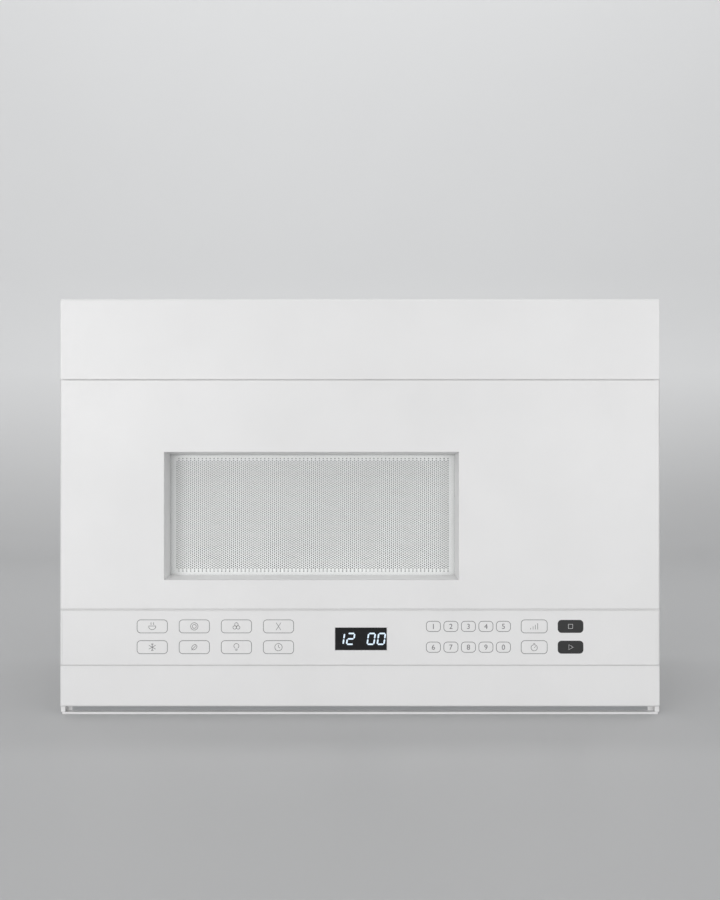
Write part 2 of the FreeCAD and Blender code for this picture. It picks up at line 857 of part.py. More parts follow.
def hinge_flange_slot(bottom, top):
    """Gap in a panel wall where a hinge flange passes."""
    y = (y_frame - hinge_flange_thickness, y_frame)
    slot = block(about(x_hinge, 2 * hinge_flange_width), grow(y, past), grow((bottom, top), past))
    return slot.common(block(grow(x_door, -panel_wall), (y_front, y_back), (0, body_height)))


def notch_reach():
    """Far corner of the hinge notches, as its x and y."""
    reach = hinge_arm_half_width + notch_side_gap
    return (x_hinge + reach, y_hinge - reach - notch_side_gap)


def hinge_notches(extra=0.0):
    """Corners cut from the door so that the hinge arms stay clear of it."""
    depth = hinge_arm_clearance + hinge_arm_thickness + notch_clearance + extra
    far_x, far_y = notch_reach()
    x = (x_door[0] - past, far_x + extra)
    y = (far_y - extra, y_frame)
    low = (z_door[0] - past, z_door[0] + depth)
    high = (z_door[1] - depth, z_door[1] + past)
    return [block(x, y, z) for z in (low, high)]


def door_outer_frame():
    """Moulded door: face, window recess, grip pocket, hinge bosses, latch guides and ribs."""
    y = (y_front, y_door_rim)
    door = rounded(block(x_door, y, z_door), side_edge_radius,
                   {"x": x_door[0], "y": y_front}, {"x": x_door[1], "y": y_front})
    inside = block(grow(x_door, -panel_wall), (y[0] + face_wall, y[1] + past), grow(z_door, -panel_wall))
    door = door.cut(inside)
    adds = [Part.makeLoft([window_section(y_front + past, window_wall), window_section(y_pane[0], window_wall)],
                          True, True)]
    grip = grip_space()
    grip_x = (grip[0][0] - grip_wall, x_door[1] - past)
    adds.append(block(grip_x, grow(grip[1], grip_wall), grow(grip[2], grip_wall)))
    low, high = z_notch()
    far_x, far_y = notch_reach()
    for z in ((z_door[0], low + notch_floor), (high - notch_floor, z_door[1])):
        adds.append(block((x_door[0], far_x + notch_floor), (far_y - notch_floor, y_door_rim), z))
    boss_length = hinge_pin_length + hinge_boss_cap
    boss = (about(x_hinge, 2 * hinge_boss_radius), about(y_hinge, 2 * hinge_boss_radius))
    adds.append(block(*boss, (low, low + boss_length)))
    adds.append(block(*boss, (high - boss_length, high)))
    adds.extend(latch_guides())
    adds.extend(door_ribs())
    door = door.multiFuse(adds)
    cuts = [Part.makeLoft([window_section(y_front - past, 0), window_section(y_pane[0] + past, 0)], True, True)]
    cuts.append(block((grip[0][0], x_door[1] + past), grip[1], grip[2]))
    cuts.extend(hinge_notches())
    for start, along in ((low - past, 1), (high + past, -1)):
        cuts.append(rod((x_hinge, y_hinge, start), (0, 0, along), hinge_pin_radius + running_gap,
                        hinge_pin_length + 2 * past))
    return door.cut(Part.makeCompound(cuts)).removeSplitter()


def z_notch():
    """Floors of the lower and the upper hinge notch."""
    depth = hinge_arm_clearance + hinge_arm_thickness + notch_clearance
    return (z_door[0] + depth, z_door[1] - depth)


def grip_space():
    """Finger pocket in the free side of the door, as spans along X, Y and Z."""
    y_mouth = y_front + grip_from_front
    return ((x_door[1] - grip_depth, x_door[1]), (y_mouth, y_mouth + grip_mouth),
            about((z_door[0] + z_door[1]) / 2, grip_height))


def latch_guides():
    """Two U shaped guides for the latch bar and the seat of its spring."""
    guides = []
    side = latch_bar_width / 2 + fit
    root = y_front + past
    walls = (root, y_latch[1] + guide_overlap)
    for z in (z_hooks[0] + 2 * hook_height + latch_travel, z_hooks[1] - 3 * hook_height):
        span = (z, z + guide_height)
        guides.append(block(grow(about(x_latch, 2 * side), guide_wall), (root, y_latch[0] - fit), span))
        guides.append(block((x_latch - side - guide_wall, x_latch - side), walls, span))
        guides.append(block((x_latch + side, x_latch + side + guide_wall), walls, span))
    seat = z_latch_bar[1] + spring_length
    guides.append(block(about(x_latch, 2 * side), (root, y_latch[1]), (seat, seat + guide_wall)))
    return guides


def door_ribs():
    """Stiffening ribs behind the blank part of the door, and posts for the inner cover."""
    root = y_front + past
    y = (root, y_front + face_wall + door_rib_depth)
    ribs = []
    for x in spaced((x_window[1] + door_rib_spacing, x_latch - door_rib_spacing), door_rib_spacing):
        ribs.append(block(about(x, rib_thickness), y, grow(z_door, -past)))
    for x in spaced((x_latch + door_rib_spacing, x_door[1] - grip_depth - door_rib_spacing), door_rib_spacing):
        ribs.append(block(about(x, rib_thickness), y, grow(z_door, -past)))
    for z in spaced(z_window, window_height / 3):
        ribs.append(block((x_window[1] + window_wall, x_door[1] - past), y, about(z, rib_thickness)))
    for x in (x_door[0] + panel_wall + 2 * cover_post_radius, x_latch + 2 * latch_from_choke):
        for z in grow(z_door, -cover_post_inset):
            ribs.append(bar((x, root, z), (0, 1, 0), cover_post_radius, y_inner_cover[0] - root, square_sides))
    return ribs


def door_window_pane():
    """Clear pane behind the window recess."""
    inward = window_draft - pane_margin
    return block(grow(x_window, -inward), y_pane, grow(z_window, -inward))


def door_screen():
    """Steel screen across the oven opening. Its fine holes are part of its finish."""
    screen = block(x_choke, y_screen, z_choke)
    frame_x, frame_z = grow(x_window, pane_margin), grow(z_window, pane_margin)
    stiffener = block(grow(frame_x, stiffener_width), (y_screen[1], y_screen[1] + stiffener_height),
                      grow(frame_z, stiffener_width))
    opening = block(frame_x, grow(y_screen, 2 * stiffener_height), frame_z)
    return screen.fuse(stiffener.cut(opening)).removeSplitter()


def door_choke_frame():
    """Choke ring: a folded wall with fingers round the oven opening."""
    y = (y_screen[1], y_inner_cover[0] - fit)
    outer = block(x_choke, y, z_choke)
    ring = outer.cut(block(grow(x_choke, -screen_sheet), grow(y, past), grow(z_choke, -screen_sheet)))
    lip = block(x_choke, (y[1] - screen_sheet, y[1]), z_choke)
    lip = lip.cut(block(grow(x_choke, -choke_lip), grow(y, past), grow(z_choke, -choke_lip)))
    ring = ring.fuse(lip)
    pitch = choke_finger + choke_slot
    slot_y = (y[0] + screen_sheet, y[1] + past)
    cuts = []
    for x in spaced(grow(x_choke, -pitch), pitch):
        for edge, inward in ((z_choke[0], 1), (z_choke[1], -1)):
            reach = sorted((edge - inward * past, edge + inward * (choke_lip + past)))
            cuts.append(block(about(x, choke_slot), slot_y, reach))
    for z in spaced(grow(z_choke, -pitch), pitch):
        for edge, inward in ((x_choke[0], 1), (x_choke[1], -1)):
            reach = sorted((edge - inward * past, edge + inward * (choke_lip + past)))
            cuts.append(block(reach, slot_y, about(z, choke_slot)))
    return ring.cut(Part.makeCompound(cuts)).removeSplitter()


def inner_window():
    """Window in the inner cover, as spans along X and Z."""
    return grow(x_cavity, -inner_window_margin), grow(z_cavity, -inner_window_margin)


def door_inner_cover():
    """Plastic back of the door, with the choke cover's window and slots for the hooks."""
    x = grow(x_door, -panel_wall - fit)
    z = grow(z_door, -panel_wall - fit)
    cover = block(x, y_inner_cover, z)
    window_x, window_z = inner_window()
    through = grow(y_inner_cover, past)
    cuts = [block(window_x, through, window_z)]
    for hook in z_hooks:
        cuts.append(block(about(x_latch, hook_thickness + 2 * cover_slot_gap), through,
                          grow((hook - hook_nose, hook + hook_height + latch_travel), cover_slot_gap)))
    cuts.extend(hinge_notches(notch_floor))
    return cover.cut(Part.makeCompound(cuts))


def door_inner_pane():
    """Clear inner pane that keeps steam from the screen."""
    window_x, window_z = inner_window()
    y = (y_inner_cover[0] + fit, y_inner_cover[0] + fit + inner_pane_thickness)
    return block(grow(window_x, -fit), y, grow(window_z, -fit))


def latch_hooks():
    """Sliding latch: one bar with two sloped hooks."""
    latch_bar = block(about(x_latch, latch_bar_width), y_latch, z_latch_bar)
    x = about(x_latch, hook_thickness)
    tip = y_frame + hook_reach
    root = y_latch[1] - past
    barb = tip - hook_barb_length
    hooks = []
    for z in z_hooks:
        top = z + hook_height
        outline = [(root, z), (barb, z), (barb, z - hook_nose), (barb + hook_barb_flat, z - hook_nose),
                   (tip, z + hook_height * 0.5), (tip, top - hook_tip_chamfer), (tip - hook_tip_chamfer, top),
                   (root, top)]
        hooks.append(prism_x(outline, x))
    return latch_bar.multiFuse(hooks).removeSplitter()


def helix_wire(centre, radius, pitch, turns):
    """Smooth coil about a vertical axis, as pairs of arcs for each quarter turn."""
    rise = pitch / (2 * math.pi)

    def place(angle):
        return centre + Vector(radius * math.cos(angle), radius * math.sin(angle), rise * angle)

    def heading(angle):
        return Vector(-radius * math.sin(angle), radius * math.cos(angle), rise).normalize()

    def arc(start, apex, end):
        middle = (start + end) * 0.5
        half_turn = (apex - start).getAngle(end - apex) / 2
        share = math.cos(half_turn) / (1 + math.cos(half_turn))
        return Part.Arc(start, middle + (apex - middle) * share, end).toShape()

    edges = []
    for quarter in range(4 * turns):
        first, last = quarter * math.pi / 2, (quarter + 1) * math.pi / 2
        start, end = place(first), place(last)
        leave, arrive = heading(first), heading(last)
        chord = end - start
        along = chord.dot(leave + arrive)
        spread = 2 * (1 - leave.dot(arrive))
        reach = (-along + math.sqrt(along * along + spread * chord.dot(chord))) / spread
        apex_in, apex_out = start + leave * reach, end - arrive * reach
        joint = (apex_in + apex_out) * 0.5
        edges.append(arc(start, apex_in, joint))
        edges.append(arc(joint, apex_out, end))
    return Part.Wire(edges)


def latch_spring():
    """Coil spring of six sided wire between the latch bar and its seat in the door."""
    start_z = z_latch_bar[1] + spring_wire + fit / 2
    free = spring_length - 2 * spring_wire - fit
    pitch = free / spring_turns
    centre = Vector(x_latch, (y_latch[0] + y_latch[1] - past) / 2, start_z)
    path = helix_wire(centre, spring_radius - spring_wire, pitch, spring_turns)
    first = path.Edges[0]
    start = first.valueAt(first.FirstParameter)
    along = first.tangentAt(first.FirstParameter)
    across = along.cross(Vector(0, 0, 1)).normalize()
    upward = across.cross(along)
    corners = [start + across * (spring_wire * math.cos(math.radians(60 * corner)))
               + upward * (spring_wire * math.sin(math.radians(60 * corner))) for corner in range(6)]
    profile = Part.makePolygon(corners + corners[:1])
    return path.makePipeShell([profile], True, False)


def hinge(z_edge, into_door):
    """Hinge bracket with its pin. into_door is +1 for the lower hinge and -1 for the upper one."""
    near = z_edge + into_door * hinge_arm_clearance
    far = near + into_door * hinge_arm_thickness
    arm_z = tuple(sorted((near, far)))
    arm = rod((x_hinge, y_hinge, arm_z[0]), (0, 0, 1), hinge_arm_half_width, hinge_arm_thickness)
    arm = arm.fuse(block(about(x_hinge, 2 * hinge_arm_half_width), (y_hinge, y_frame), arm_z))
    flange_z = tuple(sorted((far, far - into_door * hinge_flange_height)))
    flange = block((x_hinge - hinge_pin_radius, x_hinge - hinge_pin_radius + hinge_flange_width),
                   (y_frame - hinge_flange_thickness, y_frame), flange_z)
    pin_length = hinge_arm_thickness + hinge_pin_length
    pin = rod((x_hinge, y_hinge, near), (0, 0, into_door), hinge_pin_radius, pin_length)
    bracket = arm.multiFuse([flange, pin])
    for x, z in hinge_screw_places():
        bracket = bracket.cut(screw_hole((x, y_frame - hinge_flange_thickness - past, z),
                                         hinge_flange_thickness + 2 * past))
    return bracket.removeSplitter()


def hinge_screw_places():
    """Two screws in each hinge flange."""
    x = x_hinge - hinge_pin_radius + hinge_flange_width / 2
    outward = [hinge_flange_height * share for share in hinge_screw_shares]
    return [(x, z_door[0] - out) for out in outward] + [(x, z_door[1] + out) for out in outward]


def x_switch_wall():
    """Near side of the wall that carries the switches."""
    return x_latch + switch_width / 2 + fit + hook_side_clearance


def upper_hinge():
    return hinge(z_door[1], -1)


def lower_hinge():
    return hinge(z_door[0], 1)


def interlock_bracket():
    """Plastic latch body behind the front frame, with a side wall that carries the switches."""
    x_wall = x_switch_wall()
    y = (y_frame + sheet, y_frame + sheet + hook_reach + switch_depth + latch_body_margin)
    z = (z_hooks[0] - latch_body_reach, z_hooks[1] + latch_body_reach + latch_travel)
    wall = block((x_wall, x_wall + panel_wall), y, z)
    flange_y = (y[0], y[0] + panel_wall)
    flange = block((x_latch - switch_width, x_wall + switch_depth), flange_y, z)
    ribs = [block((x_wall, x_wall + 2 * latch_body_margin), y, about(at, rib_thickness))
            for at in grow(z, -latch_body_margin)]
    body = wall.multiFuse([flange] + ribs)
    for hook in z_hooks:
        body = body.cut(block(grow(about(x_latch, hook_thickness), hook_side_clearance), grow(flange_y, past),
                              hook_slot(hook)))
    return body.removeSplitter()


def micro_switches():
    """Three interlock switches on the latch body, two of them behind the hooks."""
    x_wall = x_switch_wall()
    front = y_frame + hook_reach + plunger_length
    back = front + switch_depth
    switches = []
    for z in (z_hooks[0], (z_hooks[0] + z_hooks[1]) / 2, z_hooks[1]):
        middle = z + hook_height * switch_place
        case = block((x_wall - switch_width, x_wall), (front, back), about(middle, switch_length))
        plunger_y = (front - plunger_length + fit, front)
        plunger_x = about(x_wall - plunger_from_wall, plunger_length)
        plunger = block(plunger_x, plunger_y, about(middle, plunger_length))
        pins = [block(about(x_wall - switch_width / 2, terminal_thickness), (back - past, back + pin_length),
                      about(middle + step, pin_width)) for step in (-switch_length / 3, 0, switch_length / 3)]
        switches.append(case.multiFuse([plunger] + pins).removeSplitter())
    return Part.makeCompound(switches)


# Oven.
def oven_cavity():
    """Oven box welded from five sheets, open at the front, with a turntable recess in its floor."""
    x = grow(x_cavity, sheet)
    y = (y_cavity[0], y_cavity[1] + 2 * sheet)
    long_y = (y[0], y[1] + weld_lip)
    low, high = z_cavity
    floor = block(x, long_y, (low - sheet, low))
    dish = rod((x_oven, y_oven, z_track() - sheet), (0, 0, 1), turntable_recess_radius + sheet,
               turntable_recess_depth)
    hollow = rod((x_oven, y_oven, z_track()), (0, 0, 1), turntable_recess_radius, turntable_recess_depth + past)
    shaft_hole = bar((x_oven, y_oven, z_track() - sheet - past), (0, 0, 1), 2 * turntable_shaft_radius,
                     sheet + 2 * past)
    floor = floor.fuse(dish).cut(Part.makeCompound([hollow, shaft_hole])).removeSplitter()
    ceiling = block(x, long_y, (high, high + sheet))
    back = block(x_cavity, (y_cavity[1], y_cavity[1] + sheet), z_cavity)
    left = block((x[0], x_cavity[0]), y, z_cavity)
    wall = (x_cavity[1], x[1])
    feed_y, feed_z = about(y_oven, waveguide_window[0]), about(z_waveguide(), waveguide_window[1])
    feed = block(grow(wall, past), feed_y, feed_z)
    lamp_hole = block(grow(wall, past), about(y_lamp(), 2 * lamp_window_radius),
                      about(z_lamp(), 2 * lamp_window_radius))
    right = block(wall, y, z_cavity).cut(Part.makeCompound([feed, lamp_hole]))
    return Part.makeCompound([floor, ceiling, back, left, right])


def y_lamp():
    return y_cavity[1] - lamp_from_back


def z_lamp():
    return z_cavity[1] - lamp_from_top


def z_waveguide():
    """Middle height of the waveguide."""
    return z_cavity[0] + waveguide_above_floor + waveguide_height / 2


def cavity_lamp():
    """Lamp bulb in its holder on the oven's right wall."""
    x = [x_cavity[1] + sheet]
    x.append(x[0] + lamp_holder_gap)
    x.append(x[1] + lamp_holder_depth)
    y, z = about(y_lamp(), lamp_holder_width), about(z_lamp(), lamp_holder_width)
    holder = block((x[1], x[2]), y, z)
    ears = [block((x[0], x[1]), span, z) for span in ((y[0], y[0] + sheet), (y[1] - sheet, y[1]))]
    bulb = bar((x[0] + sheet, y_lamp(), z_lamp()), (1, 0, 0), lamp_bulb_radius, lamp_holder_gap)
    return holder.multiFuse(ears + [bulb]).removeSplitter()


def waveguide():
    """Box section from the magnetron to the oven wall, open towards the oven."""
    x = (x_cavity[1] + sheet, x_cavity[1] + sheet + waveguide_reach)
    y = about(y_oven, waveguide_span)
    z = about(z_waveguide(), waveguide_height)
    flange = block((x[0], x[0] + sheet), grow(y, waveguide_flange), grow(z, waveguide_flange))
    body = block(x, y, z).fuse(flange)
    body = body.cut(block((x[0] - past, x[1] - sheet), grow(y, -sheet), grow(z, -sheet)))
    return body.cut(stem_hole((z[1] - sheet, z[1]))).removeSplitter()


def stem_hole(z):
    """Square opening through a plate for the stem and the antenna of the magnetron."""
    width = 2 * (antenna_radius + stem_gap)
    return block(about(x_magnetron(), width), about(y_oven, width), grow(z, past))


def x_magnetron():
    return x_cavity[1] + sheet + waveguide_reach * magnetron_share


def waveguide_cover():
    """Mica sheet over the waveguide opening, inside the oven."""
    y = grow(about(y_oven, waveguide_window[0]), mica_overlap)
    z = grow(about(z_waveguide(), waveguide_window[1]), mica_overlap)
    return block((x_cavity[1] - mica_thickness, x_cavity[1]), y, z)


def z_magnetron():
    """Underside of the magnetron yoke, on the waveguide."""
    return z_waveguide() + waveguide_height / 2


def magnetron_yoke():
    """Steel yoke round the magnets, open front to back for the cooling air."""
    z = (z_magnetron(), z_magnetron() + yoke_height)
    y = about(y_oven, yoke_depth)
    x = about(x_magnetron(), yoke_width)
    ring = block(x, y, z).cut(block(grow(x, -yoke_plate), grow(y, past), grow(z, -yoke_plate)))
    return ring.cut(stem_hole(z))


def magnetron_magnets():
    """Ring magnets above and below the anode."""
    magnets = []
    for low in (z_magnetron() + yoke_plate, z_magnetron() + yoke_height - yoke_plate - magnet_height):
        magnet = bar((x_magnetron(), y_oven, low), (0, 0, 1), magnet_radius, magnet_height, motor_sides)
        magnets.append(magnet.cut(stem_hole((low, low + magnet_height))))
    return Part.makeCompound(magnets)


def magnetron_anode():
    """Anode block with its cooling fins, the antenna below and the cathode stem above."""
    low = z_magnetron() + yoke_plate + magnet_height
    high = z_magnetron() + yoke_height - yoke_plate - magnet_height
    centre = (x_magnetron(), y_oven)
    anode = bar((*centre, low), (0, 0, 1), anode_radius, high - low, motor_sides)
    stem = bar((*centre, z_magnetron()), (0, 0, 1), antenna_radius + stem_wall, yoke_height)
    antenna = bar((*centre, z_magnetron() - antenna_length), (0, 0, 1), antenna_radius, antenna_length + past)
    fins = []
    fin_x = about(centre[0], yoke_width - 2 * yoke_plate - 2 * fit)
    fin_y = grow(about(centre[1], yoke_depth), -yoke_plate)
    for number in range(fin_count):
        z = low + (number + 0.5) * (high - low) / fin_count
        fins.append(block(fin_x, fin_y, about(z, fin_thickness)))
    return anode.multiFuse([stem, antenna] + fins).removeSplitter()


def magnetron_filter_box():
    """Filter box on the yoke, with its high voltage terminals."""
    z = (z_magnetron() + yoke_height, z_magnetron() + yoke_height + filter_box_height)
    x = about(x_magnetron(), filter_box_width)
    y = about(y_oven, filter_box_width)
    box = block(x, y, z).cut(block(grow(x, -sheet), grow(y, -sheet), (z[0] - past, z[1] - sheet)))
    middle = (z[0] + z[1]) / 2
    terminal_block = block(about(x_magnetron(), terminal_block_width), about(y[0], terminal_block_depth),
                           about(middle, terminal_block_depth))
    outside = y[0] - terminal_block_depth / 2
    blades = [block(about(x_magnetron() + side, blade_width), (outside - blade_length, outside + past),
                    about(middle, terminal_thickness)) for side in about(0, terminal_block_width / 2)]
    return box.multiFuse([terminal_block] + blades).removeSplitter()


def transformer_place():
    """Middle of the transformer core along X, Y and its underside."""
    return x_bay_middle, y_frame + transformer_from_frame, z_shelf + foot_plate


def transformer_core():
    """Laminated core with two windows, welded on its foot plate."""
    x, y, z = transformer_place()
    core = block(about(x, core_width), about(y, core_depth), (z, z + core_height))
    window_width_each = (core_width - core_leg - 2 * core_yoke) / 2
    window_z = (z + core_yoke, z + core_height - core_yoke)
    for side in (-1, 1):
        middle = x + side * (core_leg + window_width_each) / 2
        core = core.cut(block(about(middle, window_width_each), about(y, core_depth + 2 * past), window_z))
    foot = block(about(x, core_width + 2 * core_foot), about(y, core_depth + core_foot), (z_shelf, z))
    return core.fuse(foot)


def transformer_windings():
    """Primary and secondary coils round the core's middle leg."""
    x, y, z = transformer_place()
    side_space = (core_width - core_leg - 2 * core_yoke) / 2 - fit
    clear = (z + core_yoke + fit, z + core_height - core_yoke - fit)
    middle = (clear[0] + clear[1]) / 2
    coils = []
    for span in ((clear[0], middle - coil_gap / 2), (middle + coil_gap / 2, clear[1])):
        outer_x = about(x, core_leg + 2 * side_space)
        outer_y = about(y, core_depth + 2 * coil_overhang)
        coil = block(outer_x, outer_y, span)
        corners = []
        for at_x in outer_x:
            for at_y in outer_y:
                corners.extend(edges_at(coil, x=at_x, y=at_y))
        coil = coil.makeChamfer(coil_overhang / 2, corners)
        leg = (grow(about(x, core_leg), fit), grow(about(y, core_depth), fit))
        coils.append(coil.cut(block(*leg, grow(span, past))))
    return Part.makeCompound(coils)


def capacitor_spans():
    """Spans of the capacitor can along X, Y and Z."""
    y_start = y_oven + yoke_depth / 2 - capacitor_overlap
    z_start = z_shelf + strap_thickness
    return (about(x_bay_middle - capacitor_left, capacitor_width), (y_start, y_start + capacitor_length),
            (z_start, z_start + capacitor_height))


def hv_capacitor():
    """Oval capacitor can with its terminals."""
    x, y, z = capacitor_spans()
    middle = (z[0] + z[1]) / 2
    blade_y = (y[0] - blade_length, y[0] + past)
    blades = [block(about(at, blade_width), blade_y, about(middle, terminal_thickness))
              for at in grow(x, -capacitor_height / 2)]
    return obround_y(x, y, z).multiFuse(blades).removeSplitter()


def capacitor_bracket():
    """Strap round the capacitor, with feet on the shelf."""
    x, y, z = capacitor_spans()
    span = about((y[0] + y[1]) / 2, strap_width)
    inner_x, inner_z = grow(x, lens_gap), grow(z, lens_gap)
    strap = obround_y(grow(inner_x, strap_thickness), span, grow(inner_z, strap_thickness))
    hollow = obround_y(inner_x, grow(span, past), inner_z)
    strap = strap.common(block(grow(x, capacitor_height), grow(span, past), (z_shelf, z[1] + capacitor_height)))
    foot_in = capacitor_height / 2
    feet = [block(foot, span, (z_shelf, z_shelf + strap_thickness))
            for foot in ((x[0] - strap_width, x[0] + foot_in), (x[1] - foot_in, x[1] + strap_width))]
    return strap.multiFuse(feet).cut(hollow).removeSplitter()


# Turntable.
def z_track():
    """Floor of the turntable recess."""
    return z_cavity[0] - turntable_recess_depth


def z_tray():
    """Underside of the tray, just above the rollers."""
    return z_track() + 2 * fit + 2 * roller_radius


def z_roller():
    return z_track() + fit + roller_radius


def tray_radius():
    return (y_cavity[1] - y_cavity[0]) / 2 - tray_wall_gap


def tray_cone(low, high):
    """Closed cone with flat sides about the turntable's axis, from two pairs of radius and height."""
    rims = []
    for radius, z in (low, high):
        corners = []
        for corner in range(tray_sides):
            angle = 2 * math.pi * corner / tray_sides
            corners.append(Vector(x_oven + radius * math.cos(angle), y_oven + radius * math.sin(angle), z))
        rims.append(corners)
    faces = [Part.Face(Part.makePolygon(corners + corners[:1])) for corners in rims]
    for side in range(tray_sides):
        after = (side + 1) % tray_sides
        corners = [rims[0][side], rims[0][after], rims[1][after], rims[1][side]]
        faces.append(Part.Face(Part.makePolygon(corners + corners[:1])))
    return Part.makeSolid(Part.makeShell(faces))


def glass_tray():
    """Glass turntable plate with a raised rim and lugs for the coupler."""
    radius = tray_radius()
    z = z_tray()
    top = z + tray_rim_height
    foot = radius - tray_slope_width
    plate = tray_cone((foot, z), (radius, top - tray_rim_edge))
    plate = plate.fuse(tray_cone((radius, top - tray_rim_edge), (radius, top)))
    dish = tray_cone((foot - tray_rim_edge / 2, z + tray_thickness), (radius - tray_rim_edge, top))
    plate = plate.cut(dish)
    lugs = []
    for number in range(coupler_lobes):
        lug_x = (x_oven + lug_start, x_oven + lobe_reach)
        lug = block(lug_x, about(y_oven, lug_length), (z - lug_height, z + past))
        lug.rotate(Vector(x_oven, y_oven, 0), Vector(0, 0, 1), (number + 0.5) * 360 / coupler_lobes)
        lugs.append(lug)
    return plate.multiFuse(lugs).removeSplitter()


def turntable_coupler():
    """Three lobed coupler under the tray, on the motor's shaft."""
    z = z_tray() - fit
    low = z_track() + coupler_floor_gap
    hub = bar((x_oven, y_oven, low), (0, 0, 1), coupler_radius, z - low, round_sides)
    shaft_end = z_motor() - shaft_depth()
    shaft = bar((x_oven, y_oven, shaft_end), (0, 0, 1), turntable_shaft_radius, low + past - shaft_end)
    lobes = []
    for number in range(coupler_lobes):
        lobe = block((x_oven, x_oven + lobe_reach), about(y_oven, lug_length), (z - lobe_height, z))
        lobe.rotate(Vector(x_oven, y_oven, 0), Vector(0, 0, 1), number * 360 / coupler_lobes)
        lobes.append(lobe)
    return hub.multiFuse([shaft] + lobes).removeSplitter()


def roller_angles():
    return [90 + number * 360 / roller_count for number in range(roller_count)]


def roller_ring():
    """Ring with three stub axles that carry the rollers."""
    z = z_roller() - ring_thickness / 2
    outer = ring_radius + ring_width / 2
    middle = (x_oven, y_oven, z)
    ring = bar(middle, (0, 0, 1), outer, ring_thickness, ring_sides)
    ring = ring.cut(bar(middle, (0, 0, 1), outer - ring_width, ring_thickness, ring_sides))
    axles = []
    start = outer - 2 * past
    end = roller_circle_radius + roller_width / 2 + roller_end_gap
    for angle in roller_angles():
        outward = (math.cos(math.radians(angle)), math.sin(math.radians(angle)), 0)
        spans = ((start, end, roller_axle_radius), (end, end + past, 2 * roller_axle_radius))
        for first, last, radius in spans:
            point = (x_oven + first * outward[0], y_oven + first * outward[1], z_roller())
            axles.append(bar(point, outward, radius, last - first))
    return ring.multiFuse(axles).removeSplitter()


def roller(number):
    """One roller, with its bore along a radius of the ring."""
    angle = math.radians(roller_angles()[number])
    outward = (math.cos(angle), math.sin(angle), 0)
    start = roller_circle_radius - roller_width / 2
    point = (x_oven + start * outward[0], y_oven + start * outward[1], z_roller())
    hole = bore(point, outward, roller_axle_radius, roller_width)
    return rod(point, outward, roller_radius, roller_width).cut(hole)


def shaft_depth():
    """How far the turntable shaft reaches into its motor."""
    return turntable_motor_height * motor_shaft_share


def z_motor():
    """Top of the turntable motor, against the recess in the oven floor."""
    return z_track() - sheet


def turntable_motor():
    """Flat geared motor with its ears and terminals."""
    top = z_motor()
    low = top - turntable_motor_height
    body = bar((x_oven, y_oven, low), (0, 0, 1), turntable_motor_radius, turntable_motor_height, round_sides)
    ears = block(about(x_oven, 2 * turntable_motor_radius + 2 * motor_ear), about(y_oven, motor_ear_width),
                 (top - sheet, top))
    edge = y_oven + turntable_motor_radius
    terminal = block(about(x_oven, motor_ear_width), (edge - motor_terminal_sink, edge + motor_ear),
                     (low, top - motor_terminal_sink))
    hole = bore((x_oven, y_oven, top - shaft_depth() - past), (0, 0, 1), turntable_shaft_radius,
                turntable_motor_height)
    return body.multiFuse([ears, terminal]).cut(hole).removeSplitter()


# Cooling fan.
def fan_radius():
    return (x_bay[1] - x_bay[0]) / 2 - fan_side_gap


def fan_centre():
    return x_bay_middle, z_waveguide() + fan_above_waveguide


def y_fan():
    """Plane of the fan shroud."""
    return y_panel - sheet - fan_depth


def fan_shroud():
    """Plate with a round mouth in front of the fan, and side walls back to the case."""
    x, z = fan_centre()
    radius = fan_radius()
    span_x = grow(x_bay, -fit)
    span_z = grow(about(z, 2 * radius), shroud_margin)
    y = (y_fan() - shroud_wall, y_fan())
    plate = block(span_x, y, span_z)
    walls = [block(side, (y[0], y_panel - sheet), span_z)
             for side in ((span_x[0], span_x[0] + shroud_wall), (span_x[1] - shroud_wall, span_x[1]))]
    mouth = bar((x, y[0], z), (0, 1, 0), radius + shroud_wall, shroud_mouth, round_sides)
    opening = bar((x, y[0] - past, z), (0, 1, 0), radius, shroud_mouth + 2 * past, round_sides)
    return plate.multiFuse(walls + [mouth]).cut(opening).removeSplitter()


def fan_motor():
    """Shaded pole motor on a bar across the shroud."""
    x, z = fan_centre()
    y = (y_fan() + fan_motor_gap, y_panel - sheet - fan_bar_thickness)
    core = block(about(x, fan_core_width), grow(y, -fan_bar_thickness), about(z, fan_core_height))
    coil = block(about(x, fan_coil_width), y, (z + fan_coil_span[0], z + fan_coil_span[1]))
    mount_x = grow(x_bay, -fit - shroud_wall)
    mount = block(mount_x, (y[1] - fan_bar_thickness, y[1]), about(z, fan_bar_height))
    hole = bore((x, y[0], z), (0, 1, 0), fan_shaft_radius, fan_shaft_seat + fan_bar_thickness + past)
    return core.multiFuse([coil, mount]).cut(hole).removeSplitter()


